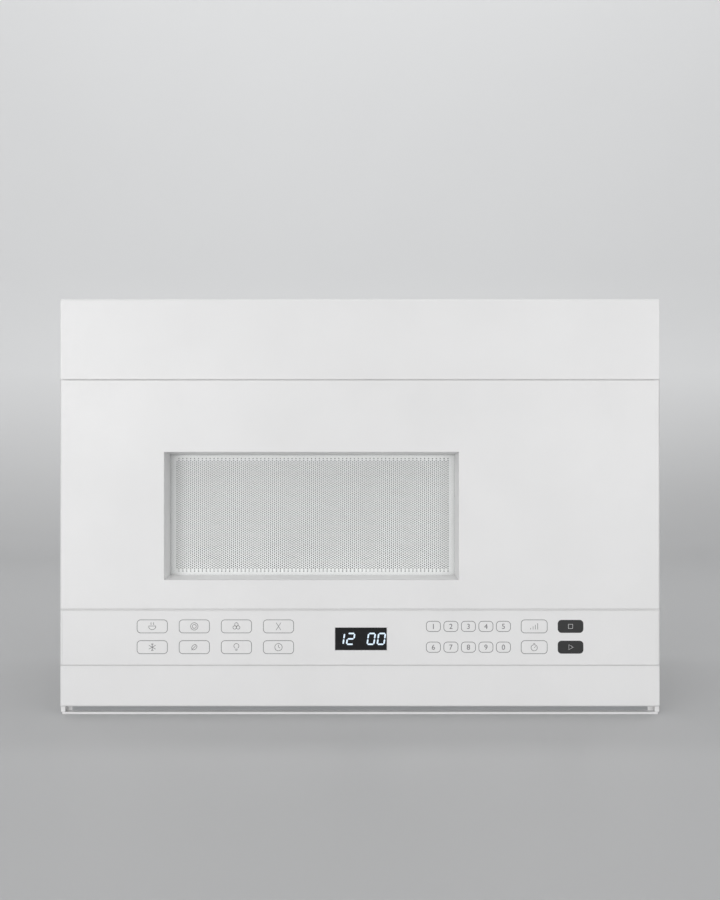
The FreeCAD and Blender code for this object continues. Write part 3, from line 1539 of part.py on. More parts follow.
def fan_blade():
    """Five leaning blades on a hub with the motor's shaft."""
    x, z = fan_centre()
    y = about(y_fan() + fan_hub_length * fan_hub_share, fan_hub_length)
    middle = (y[0] + y[1]) / 2
    hub = bar((x, y[0], z), (0, 1, 0), fan_hub_radius, fan_hub_length, motor_sides)
    shaft_end = y_fan() + fan_motor_gap + fan_bar_thickness + fan_shaft_seat
    shaft = bar((x, y[1] - past, z), (0, 1, 0), fan_shaft_radius, shaft_end - y[1] + past)
    lean = math.radians(fan_blade_lean)
    blades = []
    for number in range(fan_blades):
        turn = math.radians(number * 360 / fan_blades)
        radial = Vector(math.cos(turn), 0, math.sin(turn))
        sideways = Vector(-math.sin(turn), 0, math.cos(turn))
        along = sideways * math.cos(lean) + Vector(0, math.sin(lean), 0)
        across = Vector(0, math.cos(lean), 0) - sideways * math.sin(lean)
        corners = []
        for share, front, back in fan_blade_outline:
            distance = fan_hub_radius / 2 + share * (fan_radius() - fan_tip_gap - fan_hub_radius / 2)
            base = Vector(x, middle, z) + radial * distance - across * (fan_blade_thickness / 2)
            corners.append((base + along * front, base - along * back))
        points = [pair[0] for pair in corners] + [pair[1] for pair in reversed(corners)]
        blades.append(Part.Face(Part.makePolygon(points + points[:1])).extrude(across * fan_blade_thickness))
    return hub.multiFuse([shaft] + blades).removeSplitter()


# Exhaust blower.
def blower_space():
    """Height between the oven and the top, less the housing's walls and foot."""
    return z_inside[1] - sheet - (z_cavity[1] + sheet) - 2 * blower_wall - blower_foot - 2 * fit


def scroll_start():
    """Smallest radius of the scroll."""
    return (blower_space() - 3 * scroll_step) / 2


def blower_axis():
    """Blower shaft line, as its y and z."""
    return y_panel - sheet - blower_from_back, z_cavity[1] + sheet + blower_foot + blower_wall + scroll_start()


def wheel_radius():
    return scroll_start() - scroll_clearance


def blower_motor_span():
    return about(x_oven, blower_motor_length)


def wheel_spans():
    """Spans of the two wheels along X, on each side of the motor."""
    motor = blower_motor_span()
    gap = blower_wall + wheel_motor_gap
    left = (motor[0] - gap - blower_wheel_length, motor[0] - gap)
    right = (motor[1] + gap, motor[1] + gap + blower_wheel_length)
    return left, right


def scroll_outline(x, wall=0.0):
    """Scroll outline: three quarters of growing radius in flat steps and a straight outlet."""
    y, z = blower_axis()
    r = scroll_start() + wall
    a = scroll_step
    points = []
    for middle, radius, first in (((0, 0), r, 180), ((0, a), r + a, 270), ((-a, a), r + 2 * a, 0)):
        for step in range(scroll_steps + 1):
            angle = math.radians(first + 90 * step / scroll_steps)
            points.append((middle[0] + radius * math.cos(angle), middle[1] + radius * math.sin(angle)))
    outlet = -scroll_start() - blower_outlet / 3
    points.extend([(outlet, points[-1][1]), (outlet, -wall)])
    points[0] = (-r, -wall)
    kept = [points[0]]
    for point in points[1:]:
        if math.dist(point, kept[-1]) > running_gap:
            kept.append(point)
    corners = [Vector(x, y + dy, z + dz) for dy, dz in kept]
    return Part.makePolygon(corners + corners[:1])


def blower_housing():
    """Two scrolls joined by the motor's saddle."""
    y, z = blower_axis()
    solids = []
    hollows = []
    for span in wheel_spans():
        inner = grow(span, wheel_side_gap)
        width = inner[1] - inner[0]
        hollows.append(Part.Face(scroll_outline(inner[0])).extrude(Vector(width, 0, 0)))
        shell = Part.Face(scroll_outline(inner[0] - blower_wall, blower_wall))
        solids.append(shell.extrude(Vector(width + 2 * blower_wall, 0, 0)))
        hollows.append(bar((inner[0] - blower_wall - past, y, z), (1, 0, 0), wheel_radius() - blower_ring_width,
                           width + 2 * (blower_wall + past), motor_sides))
        outlet_y = y - scroll_start() - blower_outlet / 3
        hollows.append(block(inner, about(outlet_y, 2 * past), (z, z + scroll_start() + 3 * scroll_step)))
    low = z_cavity[1] + sheet
    left, right = wheel_spans()
    saddle = block((left[1] + wheel_side_gap, right[0] - wheel_side_gap), about(y, saddle_width),
                   (low, low + saddle_thickness))
    foot_z = (low, low + blower_foot + blower_wall)
    feet = [block(grow(span, wheel_side_gap), about(y, blower_foot_width), foot_z) for span in wheel_spans()]
    housing = solids[0].multiFuse(solids[1:] + [saddle] + feet)
    return housing.cut(Part.makeCompound(hollows)).removeSplitter()


def blower_wheels():
    """Two squirrel cage wheels on one shaft."""
    y, z = blower_axis()
    radius = wheel_radius()
    inner = radius - blower_ring_width
    left, right = wheel_spans()
    shaft = bar((left[0] + wheel_motor_gap, y, z), (1, 0, 0), blower_shaft_radius,
                right[1] - left[0] - 2 * wheel_motor_gap)
    root = inner + blower_blade_inset
    length = blower_ring_width - 2 * blower_blade_inset
    lean = math.radians(blower_blade_lean)
    pieces = []
    for span, toward_motor in ((left, 1), (right, 0)):
        disc_start = span[1] - wheel_disc if toward_motor else span[0]
        hub_start = span[1] - wheel_hub_length if toward_motor else span[0]
        ring_start = span[0] if toward_motor else span[1] - wheel_disc
        pieces.append(bar((disc_start, y, z), (1, 0, 0), radius, wheel_disc, wheel_sides))
        pieces.append(bar((hub_start, y, z), (1, 0, 0), 2 * blower_shaft_radius, wheel_hub_length))
        end_ring = bar((ring_start, y, z), (1, 0, 0), radius, wheel_disc, wheel_sides)
        pieces.append(end_ring.cut(bar((ring_start, y, z), (1, 0, 0), inner, wheel_disc, wheel_sides)))
        for number in range(blower_blades):
            angle = 2 * math.pi * number / blower_blades
            start = (y + root * math.cos(angle), z + root * math.sin(angle))
            ahead = (math.cos(angle + lean), math.sin(angle + lean))
            off = (-ahead[1] * blower_blade_thickness, ahead[0] * blower_blade_thickness)
            end = (start[0] + length * ahead[0], start[1] + length * ahead[1])
            outline = [start, end, (end[0] + off[0], end[1] + off[1]), (start[0] + off[0], start[1] + off[1])]
            pieces.append(prism_x(outline, grow(span, -wheel_disc / 2)))
    return shaft.multiFuse(pieces).removeSplitter()


def blower_motor():
    """Blower motor between the wheels, with end bells and feet."""
    y, z = blower_axis()
    span = blower_motor_span()
    radius = wheel_radius() - motor_to_scroll
    bell_radius = radius * bell_share
    body_span = grow(span, -2 * bell_length)
    body = bar((body_span[0], y, z), (1, 0, 0), radius, body_span[1] - body_span[0], motor_sides)
    between = span[1] - span[0] - 2 * bell_length
    bells = bar((span[0] + bell_length, y, z), (1, 0, 0), bell_radius, between, motor_sides)
    foot = block(grow(body_span, -bell_length), about(y, motor_foot_width),
                 (z_cavity[1] + sheet + saddle_thickness, z - bell_radius))
    hole = bore((span[0], y, z), (1, 0, 0), blower_shaft_radius, span[1] - span[0])
    return body.multiFuse([bells, foot]).cut(hole).removeSplitter()


# Filters and lamps.
def z_charcoal():
    """Span of the charcoal filter, in the middle of the top panel."""
    return about((z_top[0] + z_top[1]) / 2, charcoal_height)


def charcoal_filter():
    """Filter frame with its grid, over the air opening in the front frame."""
    x = about(0, charcoal_width)
    y = (y_frame - fit - charcoal_thickness, y_frame - fit)
    z = z_charcoal()
    frame = block(x, y, z).cut(block(grow(x, -charcoal_border), grow(y, past), grow(z, -charcoal_border)))
    within = (grow(x, -charcoal_border + past), grow(z, -charcoal_border + past))
    core = block(within[0], grow(y, -charcoal_sink), within[1])
    ribs = [block(about(at, rib_thickness), y, within[1])
            for at in spaced(grow(x, -charcoal_rib_pitch), charcoal_rib_pitch)]
    ribs.append(block(within[0], y, about((z[0] + z[1]) / 2, rib_thickness)))
    return frame.multiFuse([core] + ribs).removeSplitter()


def grease_filter(x_middle):
    """Mesh pad in a channel frame, with a pull tab on its underside."""
    x = about(x_middle, grease_filter_width)
    z = (sheet + fit / 2, sheet + fit / 2 + grease_filter_height)
    body = block(x, y_filter, z)
    pad = (grow(x, -grease_filter_border), grow(y_filter, -grease_filter_border))
    for hollow_z in (about(z[0], 2 * mesh_sink), about(z[1], 2 * mesh_sink)):
        body = body.cut(block(*pad, hollow_z))
    tab_y = y_filter[0] + filter_ledge + tab_inset
    tab = block(about(x_middle, tab_width), (tab_y, tab_y + tab_depth), (fit, z[0] + past))
    return body.fuse(tab).removeSplitter()


def grease_filter_left():
    return grease_filter(x_filters[0])


def grease_filter_right():
    return grease_filter(x_filters[1])


def lamp_lenses():
    """Two cooktop lamp lenses, flush with the base."""
    lenses = []
    y = about(y_lens, lens_depth)
    for middle in about(0, 2 * lens_spread):
        x = about(middle, lens_width)
        lens = block(x, y, (fit, sheet + lens_thickness))
        flange = block(grow(x, lens_flange), grow(y, lens_flange), (sheet, sheet + lens_thickness))
        lenses.append(lens.fuse(flange).removeSplitter())
    return Part.makeCompound(lenses)


def lamp_modules():
    """Housings of the two cooktop lamps."""
    modules = []
    y = about(y_lens, lens_depth)
    z = (sheet + lens_thickness, sheet + lens_thickness + lamp_height)
    board_z = (z[1] - lamp_board_depth, z[1] - sheet)
    for middle in about(0, 2 * lens_spread):
        x = about(middle, lens_width)
        inside = (grow(x, lens_flange - lamp_wall), grow(y, lens_flange - lamp_wall))
        shell = block(grow(x, lens_flange), grow(y, lens_flange), z)
        shell = shell.cut(block(*inside, (z[0] - past, z[1] - lamp_wall)))
        led_board = block(*inside, board_z)
        led_z = (board_z[0] - sheet, board_z[0] + past)
        leds = [block(about(middle + step, led_width), about(y_lens, led_width), led_z)
                for step in (-lens_width / 4, 0, lens_width / 4)]
        modules.append(shell.multiFuse([led_board] + leds).removeSplitter())
    return Part.makeCompound(modules)


pieces = {
    "outer_cover": outer_cover,
    "back_panel": back_panel,
    "base_plate": base_plate,
    "front_frame": front_frame,
    "component_shelf": component_shelf,
    "top_vent_panel": top_vent_panel,
    "lower_front_panel": lower_front_panel,
    "top_blank_plate": top_blank_plate,
    "top_mount_bracket": top_mount_bracket,
    "cord_bushing": cord_bushing,
    "case_screws": case_screws,
    "control_panel": control_panel,
    "control_overlay": control_overlay,
    "display_window": display_window,
    "display_module": display_module,
    "touch_board": touch_board,
    "control_board": control_board,
    "noise_filter_board": noise_filter_board,
    "door_outer_frame": door_outer_frame,
    "door_window_pane": door_window_pane,
    "door_screen": door_screen,
    "door_choke_frame": door_choke_frame,
    "door_inner_cover": door_inner_cover,
    "door_inner_pane": door_inner_pane,
    "latch_hooks": latch_hooks,
    "latch_spring": latch_spring,
    "upper_hinge": upper_hinge,
    "lower_hinge": lower_hinge,
    "interlock_bracket": interlock_bracket,
    "micro_switches": micro_switches,
    "oven_cavity": oven_cavity,
    "cavity_lamp": cavity_lamp,
    "waveguide": waveguide,
    "waveguide_cover": waveguide_cover,
    "magnetron_yoke": magnetron_yoke,
    "magnetron_magnets": magnetron_magnets,
    "magnetron_anode": magnetron_anode,
    "magnetron_filter_box": magnetron_filter_box,
    "transformer_core": transformer_core,
    "transformer_windings": transformer_windings,
    "hv_capacitor": hv_capacitor,
    "capacitor_bracket": capacitor_bracket,
    "glass_tray": glass_tray,
    "turntable_coupler": turntable_coupler,
    "roller_ring": roller_ring,
    "turntable_motor": turntable_motor,
    "fan_shroud": fan_shroud,
    "fan_motor": fan_motor,
    "fan_blade": fan_blade,
    "blower_housing": blower_housing,
    "blower_wheels": blower_wheels,
    "blower_motor": blower_motor,
    "charcoal_filter": charcoal_filter,
    "grease_filter_left": grease_filter_left,
    "grease_filter_right": grease_filter_right,
    "lamp_lenses": lamp_lenses,
    "lamp_modules": lamp_modules,
}

os.makedirs("parts", exist_ok=True)
for name, make in pieces.items():
    make().exportStep(f"parts/{name}.step")
for number in range(len(roller_angles())):
    roller(number).exportStep(f"parts/roller_{number + 1}.step")
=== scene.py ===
"""Finishes, prints and fine pieces of a 24 inch over the range microwave oven, with its stage."""

import json
import math

import bmesh
import bpy
from bpy.props import (FloatProperty, FloatVectorProperty, IntProperty, PointerProperty,
                       StringProperty)
from bpy.types import Operator, Panel, PropertyGroup
from mathutils import Euler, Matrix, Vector


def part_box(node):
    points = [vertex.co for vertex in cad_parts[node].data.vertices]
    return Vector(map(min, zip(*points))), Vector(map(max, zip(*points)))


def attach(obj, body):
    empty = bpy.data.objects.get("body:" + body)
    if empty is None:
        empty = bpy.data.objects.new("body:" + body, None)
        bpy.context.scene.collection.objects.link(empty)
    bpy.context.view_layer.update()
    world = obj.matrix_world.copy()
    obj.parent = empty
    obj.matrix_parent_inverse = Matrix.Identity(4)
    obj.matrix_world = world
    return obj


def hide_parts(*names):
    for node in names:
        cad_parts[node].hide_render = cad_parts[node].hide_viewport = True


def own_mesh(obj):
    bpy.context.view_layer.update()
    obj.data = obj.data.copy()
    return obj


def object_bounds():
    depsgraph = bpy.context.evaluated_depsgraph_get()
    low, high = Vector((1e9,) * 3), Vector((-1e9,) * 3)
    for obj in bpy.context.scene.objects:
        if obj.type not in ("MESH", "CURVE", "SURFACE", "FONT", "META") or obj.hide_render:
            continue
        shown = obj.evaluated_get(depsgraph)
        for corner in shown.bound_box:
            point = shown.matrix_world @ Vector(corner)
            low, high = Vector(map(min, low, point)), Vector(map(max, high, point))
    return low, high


bl_info = {
    "name": "Over the range microwave",
    "version": (1, 0, 0),
    "blender": (4, 5, 0),
    "location": "3D View > Sidebar > Microwave",
    "description": "Finishes, prints and fine pieces of an over the range microwave oven",
    "category": "Object",
}

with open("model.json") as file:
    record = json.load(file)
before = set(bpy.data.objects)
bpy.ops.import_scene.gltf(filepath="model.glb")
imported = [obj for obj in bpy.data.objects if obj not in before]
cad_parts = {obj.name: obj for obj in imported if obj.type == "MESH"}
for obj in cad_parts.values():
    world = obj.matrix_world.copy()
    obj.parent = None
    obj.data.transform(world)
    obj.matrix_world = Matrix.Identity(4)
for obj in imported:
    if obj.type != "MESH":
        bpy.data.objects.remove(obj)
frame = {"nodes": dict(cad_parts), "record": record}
CAD_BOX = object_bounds()
MM = 0.001
PRINT_RELIEF = 0.03 * MM


# Settings.
def colour(label, text, default):
    """A colour that a user can change."""
    return FloatVectorProperty(name=label, description=text, subtype="COLOR", size=3, min=0, max=1,
                               default=default)


def length(label, text, millimetres):
    """A size that a user can change, given here in millimetres."""
    return FloatProperty(name=label, description=text, unit="LENGTH", min=0, precision=5,
                         default=millimetres * MM)


def power(label, text, watts):
    """A lamp's power that a user can change."""
    return FloatProperty(name=label, description=text, unit="POWER", min=0, default=watts)


def number(label, text, default):
    """A count that a user can change."""
    return IntProperty(name=label, description=text, min=1, default=default)


class FinishSettings(PropertyGroup):
    """Colours of the finishes."""

    moulding: colour("Moulding", "Door and panels, satin white plastic", (0.80, 0.797, 0.797))
    paint: colour("Paint", "Baked paint of the case", (0.78, 0.777, 0.777))
    enamel: colour("Enamel", "Oven walls", (0.45, 0.457, 0.457))
    zinc: colour("Zinc", "Zinc coated sheet", (0.60, 0.61, 0.62))
    plated: colour("Plated steel", "Hinges, choke ring, screws and spring", (0.60, 0.60, 0.61))
    laminations: colour("Laminations", "Varnished core sheets", (0.20, 0.19, 0.18))
    aluminium: colour("Aluminium", "Filters, fins and cans", (0.78, 0.79, 0.80))
    copper: colour("Winding wire", "Enamelled copper wire", (0.56, 0.22, 0.08))
    ferrite: colour("Ferrite", "Ring magnets", (0.035, 0.035, 0.038))
    mica: colour("Mica", "Waveguide cover", (0.62, 0.54, 0.40))
    glass: colour("Glass", "Window pane and tray", (0.985, 0.99, 0.988))
    screen: colour("Screen", "White coated screen in the door", (0.92, 0.915, 0.915))
    overlay: colour("Overlay", "Printed film on the control strip", (0.80, 0.797, 0.797))
    lens: colour("Display lens", "Smoked lens", (0.006, 0.006, 0.007))
    board: colour("Circuit board", "Laminate", (0.018, 0.11, 0.045))
    grey: colour("Grey plastic", "Back of the door and blower wheels", (0.34, 0.35, 0.36))
    black: colour("Black plastic", "Fan, switches and holders", (0.022, 0.022, 0.024))
    white: colour("White plastic", "Latch, rollers and lamp holders", (0.76, 0.76, 0.74))
    rubber: colour("Rubber", "Bushing", (0.018, 0.018, 0.018))
    charcoal: colour("Charcoal", "Odour filter", (0.016, 0.016, 0.017))
    ink: colour("Key ink", "Grey lines round the keys", (0.13, 0.13, 0.135))
    dark_key: colour("Dark key", "Filled keys at the right", (0.012, 0.012, 0.013))


class ScreenSettings(PropertyGroup):
    """Holes of the door screen."""

    pitch: length("Pitch", "From one hole to the next in a column", 2.32)
    hole: length("Hole", "Diameter of a hole", 1.42)
    sheet: length("Sheet", "Depth of the hole walls that show", 0.5)
    rim: length("Rim", "Thickness of the plain strips", 0.8)
    left: length("Left margin", "Plain strip from the screen's left edge to the holes", 82.2)
    right: length("Right margin", "Plain strip from the holes to the screen's right edge", 82.1)
    bottom: length("Bottom margin", "Plain strip below the holes", 29.4)
    top: length("Top margin", "Plain strip above the holes", 74.1)


class KeySettings(PropertyGroup):
    """Key fields of the control strip, from the left edge and the base of the object."""

    line: length("Line", "Width of the line round a key", 0.55)
    corner: length("Corner", "Corner radius of a key", 3.8)
    icon_line: length("Icon line", "Width of the strokes of an icon", 0.5)
    icon_size: length("Icon size", "Half the height of an icon", 3.9)
    upper_row: length("Upper row", "Middle height of the upper row of keys", 88.9)
    lower_row: length("Lower row", "Middle height of the lower row of keys", 67.9)
    wide_width: length("Wide key", "Width of a key with an icon", 31.1)
    wide_height: length("Wide key height", "Height of a key with an icon", 13.7)
    wide_first: length("First wide key", "Middle of the first wide key, from the left edge", 93.45)
    wide_pitch: length("Wide key pitch", "From one wide key to the next", 42.5)
    digit_width: length("Digit key", "Width of a digit key", 14.8)
    digit_height: length("Digit key height", "Height of a digit key", 10.9)
    digit_first: length("First digit key", "Middle of the first digit key, from the left edge", 377.35)
    digit_pitch: length("Digit key pitch", "From one digit key to the next", 17.68)
    digit_print: length("Digit print", "Height of a printed digit", 5.2)
    side_width: length("Side key", "Width of the keys beside the digits", 26.8)
    side_place: length("Side key place", "Middle of those keys, from the left edge", 479.15)
    dark_width: length("Dark key", "Width of the filled keys", 25.9)
    dark_place: length("Dark key place", "Middle of the filled keys, from the left edge", 515.85)
    dark_height: length("Dark key height", "Height of the filled keys", 13.1)


class DisplaySettings(PropertyGroup):
    """Clock digits on the display."""

    shown: StringProperty(name="Shown", description="Four places, a blank between the pairs",
                          default="12 00")
    glow: FloatProperty(name="Glow", description="Strength of the lit segments", min=0, max=10,
                        default=1.0)
    lit: colour("Lit", "Colour of a lit segment", (0.72, 0.86, 1.0))
    digit_width: length("Digit width", "Width of a digit", 8.2)
    digit_height: length("Digit height", "Height of a digit", 12.4)
    digit_pitch: length("Digit pitch", "From one digit to the next", 10.2)
    pair_gap: length("Pair gap", "Extra gap between the pairs", 10.6)
    stroke: length("Stroke", "Width of a segment", 1.5)
    slant: FloatProperty(name="Slant", description="Lean of the digits", subtype="ANGLE",
                         default=math.radians(8))
    gap: length("Gap", "From a segment's end to its corner", 0.25)
    rim: length("Rim", "Pale line round the lens", 0.5)
    corner: length("Corner", "Corner radius of the lens", 0.6)


class SpringSettings(PropertyGroup):
    """Coil spring over the latch."""

    wire: length("Wire", "Diameter of the wire", 0.9)
    travel: length("Travel", "How far the latch rises", 4.0)
    turns: number("Turns", "Turns of the coil", 5)
    steps: number("Steps", "Steps of the wire in a turn", 24)
    sides: number("Sides", "Sides of the wire", 8)


class SeamSettings(PropertyGroup):
    """Return lips behind the door's seams, the end stops of the lower recess, and a grey strip painted
    as the shade at the recess's back.
    """

    depth: length("Depth", "From the door's face to the lip", 1.6)
    thickness: length("Thickness", "Wall of the lip", 1.4)
    clearance: length("Clearance", "From the lip to the door", 0.35)
    recess: length("Recess", "From the base lip's face to the stops behind it", 8.6)
    stop: length("Stop", "Length of the recess's end stops", 8.5)
    stop_sheet: length("Stop sheet", "Thickness of a stop", 1.0)
    stop_edge: length("Stop edge", "From the base's side to a stop", 0.3)
    stop_foot: length("Stop foot", "Lower edge of a stop, above the base", 1.5)
    overlap: length("Overlap", "Height of the stops above the chin's lower edge", 6.5)
    # The grey strip darkens the back of the lower recess: painted shade.
    strip: length("Strip", "Lower edge of the grey strip, above the base", 2.3)
    strip_sheet: length("Strip sheet", "Thickness of the grey strip", 0.3)


class MeshSettings(PropertyGroup):
    """Expanded mesh of the grease filters."""

    border: length("Border", "Width of the frame round the mesh", 9.0)
    strand: length("Strand", "Thickness of a strand", 0.7)
    opening: length("Opening", "Length of an opening", 7.0)
    row: length("Row", "From one row of openings to the next", 3.4)
    depth: length("Filter depth", "Thickness of a filter's frame", 8.0)
    first_layer: length("First layer", "Lowest layer, above the underside", 0.5)
    second_layer: length("Second layer", "Next layer, above the underside", 1.35)
    top_layer: length("Top layer", "Uppermost layer, below the top", 0.6)


class ScrewSettings(PropertyGroup):
    """Heads of the case screws."""

    head: length("Head", "Height of a head at the sides", 2.2)
    sides: number("Sides", "Sides of a head", 20)


class OvenSettings(PropertyGroup):
    """Lamp grille, and near-black discs painted as the shade of the steam vents in the oven walls."""

    sheet: length("Sheet", "Thickness of the oven's walls", 1.0)
    bar: length("Bar", "Half the width of a bar of the grille", 0.4)
    thickness: length("Thickness", "Thickness of a bar", 0.5)
    layer: length("Layer", "From the layer of long bars to the other", 0.4)
    bars: number("Bars", "Bars of the grille on each side of its middle", 3)
    margin: length("Margin", "From the lamp to the grille's edge", 0.5)
    vent: length("Vent", "Radius of a vent", 1.5)
    # A vent is a dark disc standing this far proud of the wall: painted shade in place of a hole.
    relief: length("Relief", "Height of a vent's mark on the wall", 0.05)
    vent_pitch: length("Vent pitch", "From one vent to the next in a row", 5.2)
    row_pitch: length("Row pitch", "From one row of vents to the next", 4.5)
    vent_back: length("Vent back", "From the oven's back to the first vents", 90.5)
    vent_top: length("Vent top", "From the oven's top to the lowest row", 59.0)
    vents: number("Vents", "Vents in a row", 11)
    rows: number("Rows", "Rows of vents", 6)


class StageSettings(PropertyGroup):
    """Camera, floor and lamps."""

    camera_distance: length("Camera distance", "From the front of the object", 1300)
    camera_height: length("Camera height", "Above the floor", 267)
    focal_length: FloatProperty(name="Focal length", description="Lens, in millimetres", min=10,
                                default=51.5)
    floor_tone: colour("Floor", "Floor", (0.50, 0.503, 0.507))
    wall_tone: colour("Backdrop", "Backdrop behind the object", (0.80, 0.805, 0.81))
    key_power: power("Key power", "Large lamp far off at the left", 76)
    top_power: power("Top power", "Large lamp overhead", 12.5)
    wall_power: power("Wall power", "Lamp on the backdrop", 34)
    fill_power: power("Fill power", "Soft lamp at the right", 18.5)
    sky: FloatProperty(name="Surround", description="Even light from all round", min=0, default=0.42)


SETTINGS = {
    "microwave_finishes": FinishSettings,
    "microwave_screen": ScreenSettings,
    "microwave_keys": KeySettings,
    "microwave_display": DisplaySettings,
    "microwave_spring": SpringSettings,
    "microwave_seams": SeamSettings,
    "microwave_mesh": MeshSettings,
    "microwave_screws": ScrewSettings,
    "microwave_oven": OvenSettings,
    "microwave_stage": StageSettings,
}


# Finishes.
class Finish:
    """A node material that is built up in steps."""

    def __init__(self, name):
        self.material = bpy.data.materials.new(name)
        self.material.use_nodes = True
        self.nodes = self.material.node_tree.nodes
        self.links = self.material.node_tree.links
        self.nodes.clear()
        self.output = self.nodes.new("ShaderNodeOutputMaterial")
        self.shader = self.nodes.new("ShaderNodeBsdfPrincipled")
        self.links.new(self.shader.outputs["BSDF"], self.output.inputs["Surface"])
        self.place = self.nodes.new("ShaderNodeTexCoord").outputs["Object"]
        self.edge_normal = None

    def feed(self, socket, given):
        """Give a socket another node's output, a colour or a plain value."""
        if isinstance(given, bpy.types.NodeSocket):
            self.links.new(given, socket)
        elif hasattr(given, "__len__") and len(given) < len(socket.default_value):
            socket.default_value = (*given, 1)
        else:
            socket.default_value = given

    def added(self, kind, inputs, **settings):
        """A node of a kind with its settings and its inputs."""
        node = self.nodes.new("ShaderNode" + kind)
        for name, value in settings.items():
            setattr(node, name, value)
        for name, given in inputs.items():
            self.feed(node.inputs[name], given)
        return node

    def stretched(self, stretch):
        """Object coordinates, longer along an axis where its factor is small."""
        return self.added("Mapping", {"Vector": self.place, "Scale": stretch}).outputs["Vector"]

    def noise(self, size, detail=2.0, stretch=(1, 1, 1)):
        """Cloudy values with features of about a size."""
        inputs = {"Scale": 1 / size, "Detail": detail, "Vector": self.stretched(stretch)}
        return self.added("TexNoise", inputs).outputs["Fac"]

    def cells(self, size, output="Color", feature="F1"):
        """Values that differ from one cell to the next."""
        inputs = {"Scale": 1 / size, "Vector": self.place}
        return self.added("TexVoronoi", inputs, feature=feature).outputs[output]

    def bands(self, size, axis, distortion=0.0):
        """Even bands across an axis."""
        inputs = {"Scale": math.pi / 10 / size, "Distortion": distortion, "Vector": self.place}
        return self.added("TexWave", inputs, bands_direction=axis).outputs["Fac"]

    def ranged(self, value, low, high, start=0.3, end=0.7):
        """Values brought into a range."""
        return self.added("MapRange", {"Value": value, "From Min": start, "From Max": end,
                                       "To Min": low, "To Max": high}).outputs["Result"]

    def mixed(self, value, first, second):
        """Colour between two colours, or between a colour and another output."""
        inputs = {"Factor": value, "A": first, "B": second}
        return self.added("Mix", inputs, data_type="RGBA").outputs["Result"]

    def joined(self, first, second, how="ADD"):
        """Two values put together."""
        return self.added("Math", {0: first, 1: second}, operation=how).outputs["Value"]

    def softened(self, radius):
        """How near a sharp edge lies; the relief then starts from a normal rounded over it."""
        self.edge_normal = self.added("Bevel", {"Radius": radius}, samples=6).outputs["Normal"]
        flat = self.added("NewGeometry", {}).outputs["Normal"]
        dot = self.added("VectorMath", {0: self.edge_normal, 1: flat}, operation="DOT_PRODUCT")
        return self.ranged(dot.outputs["Value"], 1, 0, 0.75, 0.99)

    def relief(self, value, height):
        """Bump of a height from a value."""
        node = self.added("Bump", {"Strength": 1.0, "Distance": height, "Height": value})
        if self.edge_normal is not None:
            self.feed(node.inputs["Normal"], self.edge_normal)
        self.to("Normal", node.outputs["Normal"])

    def to(self, socket, value):
        """An output, a colour or a plain value to a socket of the shader."""
        self.feed(self.shader.inputs[socket], value)


def toned(base, factor):
    """A colour made lighter or darker."""
    return tuple(min(1.0, max(0.0, part * factor)) for part in base)


def moulded(name, base, rough, grain=0.35 * MM, height=0.006 * MM, soft=0.05, edge=0.0):
    """Plastic or paint: faint clouds in the colour, a fine skin, uneven gloss, and edges painted paler
    and glossier as a highlight.
    """
    finish = Finish(name)
    cloud = finish.noise(90 * MM, 3)
    cloud = finish.ranged(cloud, 0, 1)
    tint = finish.mixed(cloud, toned(base, 1 - soft / 2), toned(base, 1 + soft / 4))
    gloss = finish.ranged(finish.noise(4 * MM, 3), rough - 0.05, rough + 0.06)
    if edge:
        # Painted highlight: near a sharp edge the colour is made paler in patches, for light caught on
        # the rounded edge; the gloss rises there too.
        highlight_edge = finish.softened(edge)
        patchy_highlight = finish.joined(highlight_edge, finish.ranged(finish.noise(11 * MM, 3), 0.2, 1), "MULTIPLY")
        tint = finish.mixed(patchy_highlight, tint, toned(base, 1.04))
        gloss = finish.joined(gloss, finish.joined(patchy_highlight, 0.12, "MULTIPLY"), "SUBTRACT")
    finish.to("Base Color", tint)
    finish.to("Roughness", gloss)
    finish.relief(finish.noise(grain, 4), height)
    return finish.material


def sheet_metal(name, base, rough, stretch=(1, 1, 1)):
    """Plain metal with brush or rolling marks along one axis, and edges painted paler as a highlight.
    """
    finish = Finish(name)
    marks = finish.noise(0.5 * MM, 4, stretch)
    tint = finish.mixed(finish.ranged(marks, 0, 1), toned(base, 0.88), toned(base, 1.06))
    patches = finish.ranged(finish.noise(7 * MM, 3), 0.1, 1)
    # Painted highlight: near sharp edges the colour is made paler in patches, for light caught on the
    # edges.
    metal_edge_highlight = finish.joined(finish.softened(0.5 * MM), patches, "MULTIPLY")
    finish.to("Base Color", finish.mixed(metal_edge_highlight, tint, toned(base, 1.25)))
    finish.to("Metallic", 1.0)
    finish.to("Roughness", finish.ranged(finish.noise(30 * MM, 3), rough - 0.06, rough + 0.08))
    finish.relief(marks, 0.003 * MM)
    return finish.material


def zinc_sheet(name, base):
    """Zinc coated sheet with its flower pattern."""
    finish = Finish(name)
    flowers = finish.cells(6 * MM)
    tone = finish.added("SeparateColor", {"Color": flowers}).outputs["Red"]
    finish.to("Base Color", finish.mixed(tone, toned(base, 0.94), toned(base, 1.04)))
    finish.to("Metallic", 1.0)
    finish.to("Roughness", finish.ranged(tone, 0.38, 0.48, 0, 1))
    finish.relief(finish.noise(1.2 * MM, 3), 0.004 * MM)
    return finish.material


def speckled_enamel(name, base):
    """Glossy oven enamel with small darker specks."""
    finish = Finish(name)
    specks = finish.ranged(finish.cells(1.3 * MM, "Distance"), 1, 0, 0.12, 0.2)
    cloud = finish.ranged(finish.noise(50 * MM, 3), 0, 1)
    cloud = finish.mixed(cloud, toned(base, 0.96), toned(base, 1.03))
    thinned = finish.joined(specks, finish.ranged(finish.noise(3 * MM, 2), 0, 1, 0.5, 0.56), "MULTIPLY")
    finish.to("Base Color", finish.mixed(thinned, cloud, toned(base, 0.45)))
    finish.to("Roughness", finish.ranged(finish.noise(6 * MM, 3), 0.2, 0.32))
    finish.relief(finish.noise(2.5 * MM, 3), 0.02 * MM)
    return finish.material


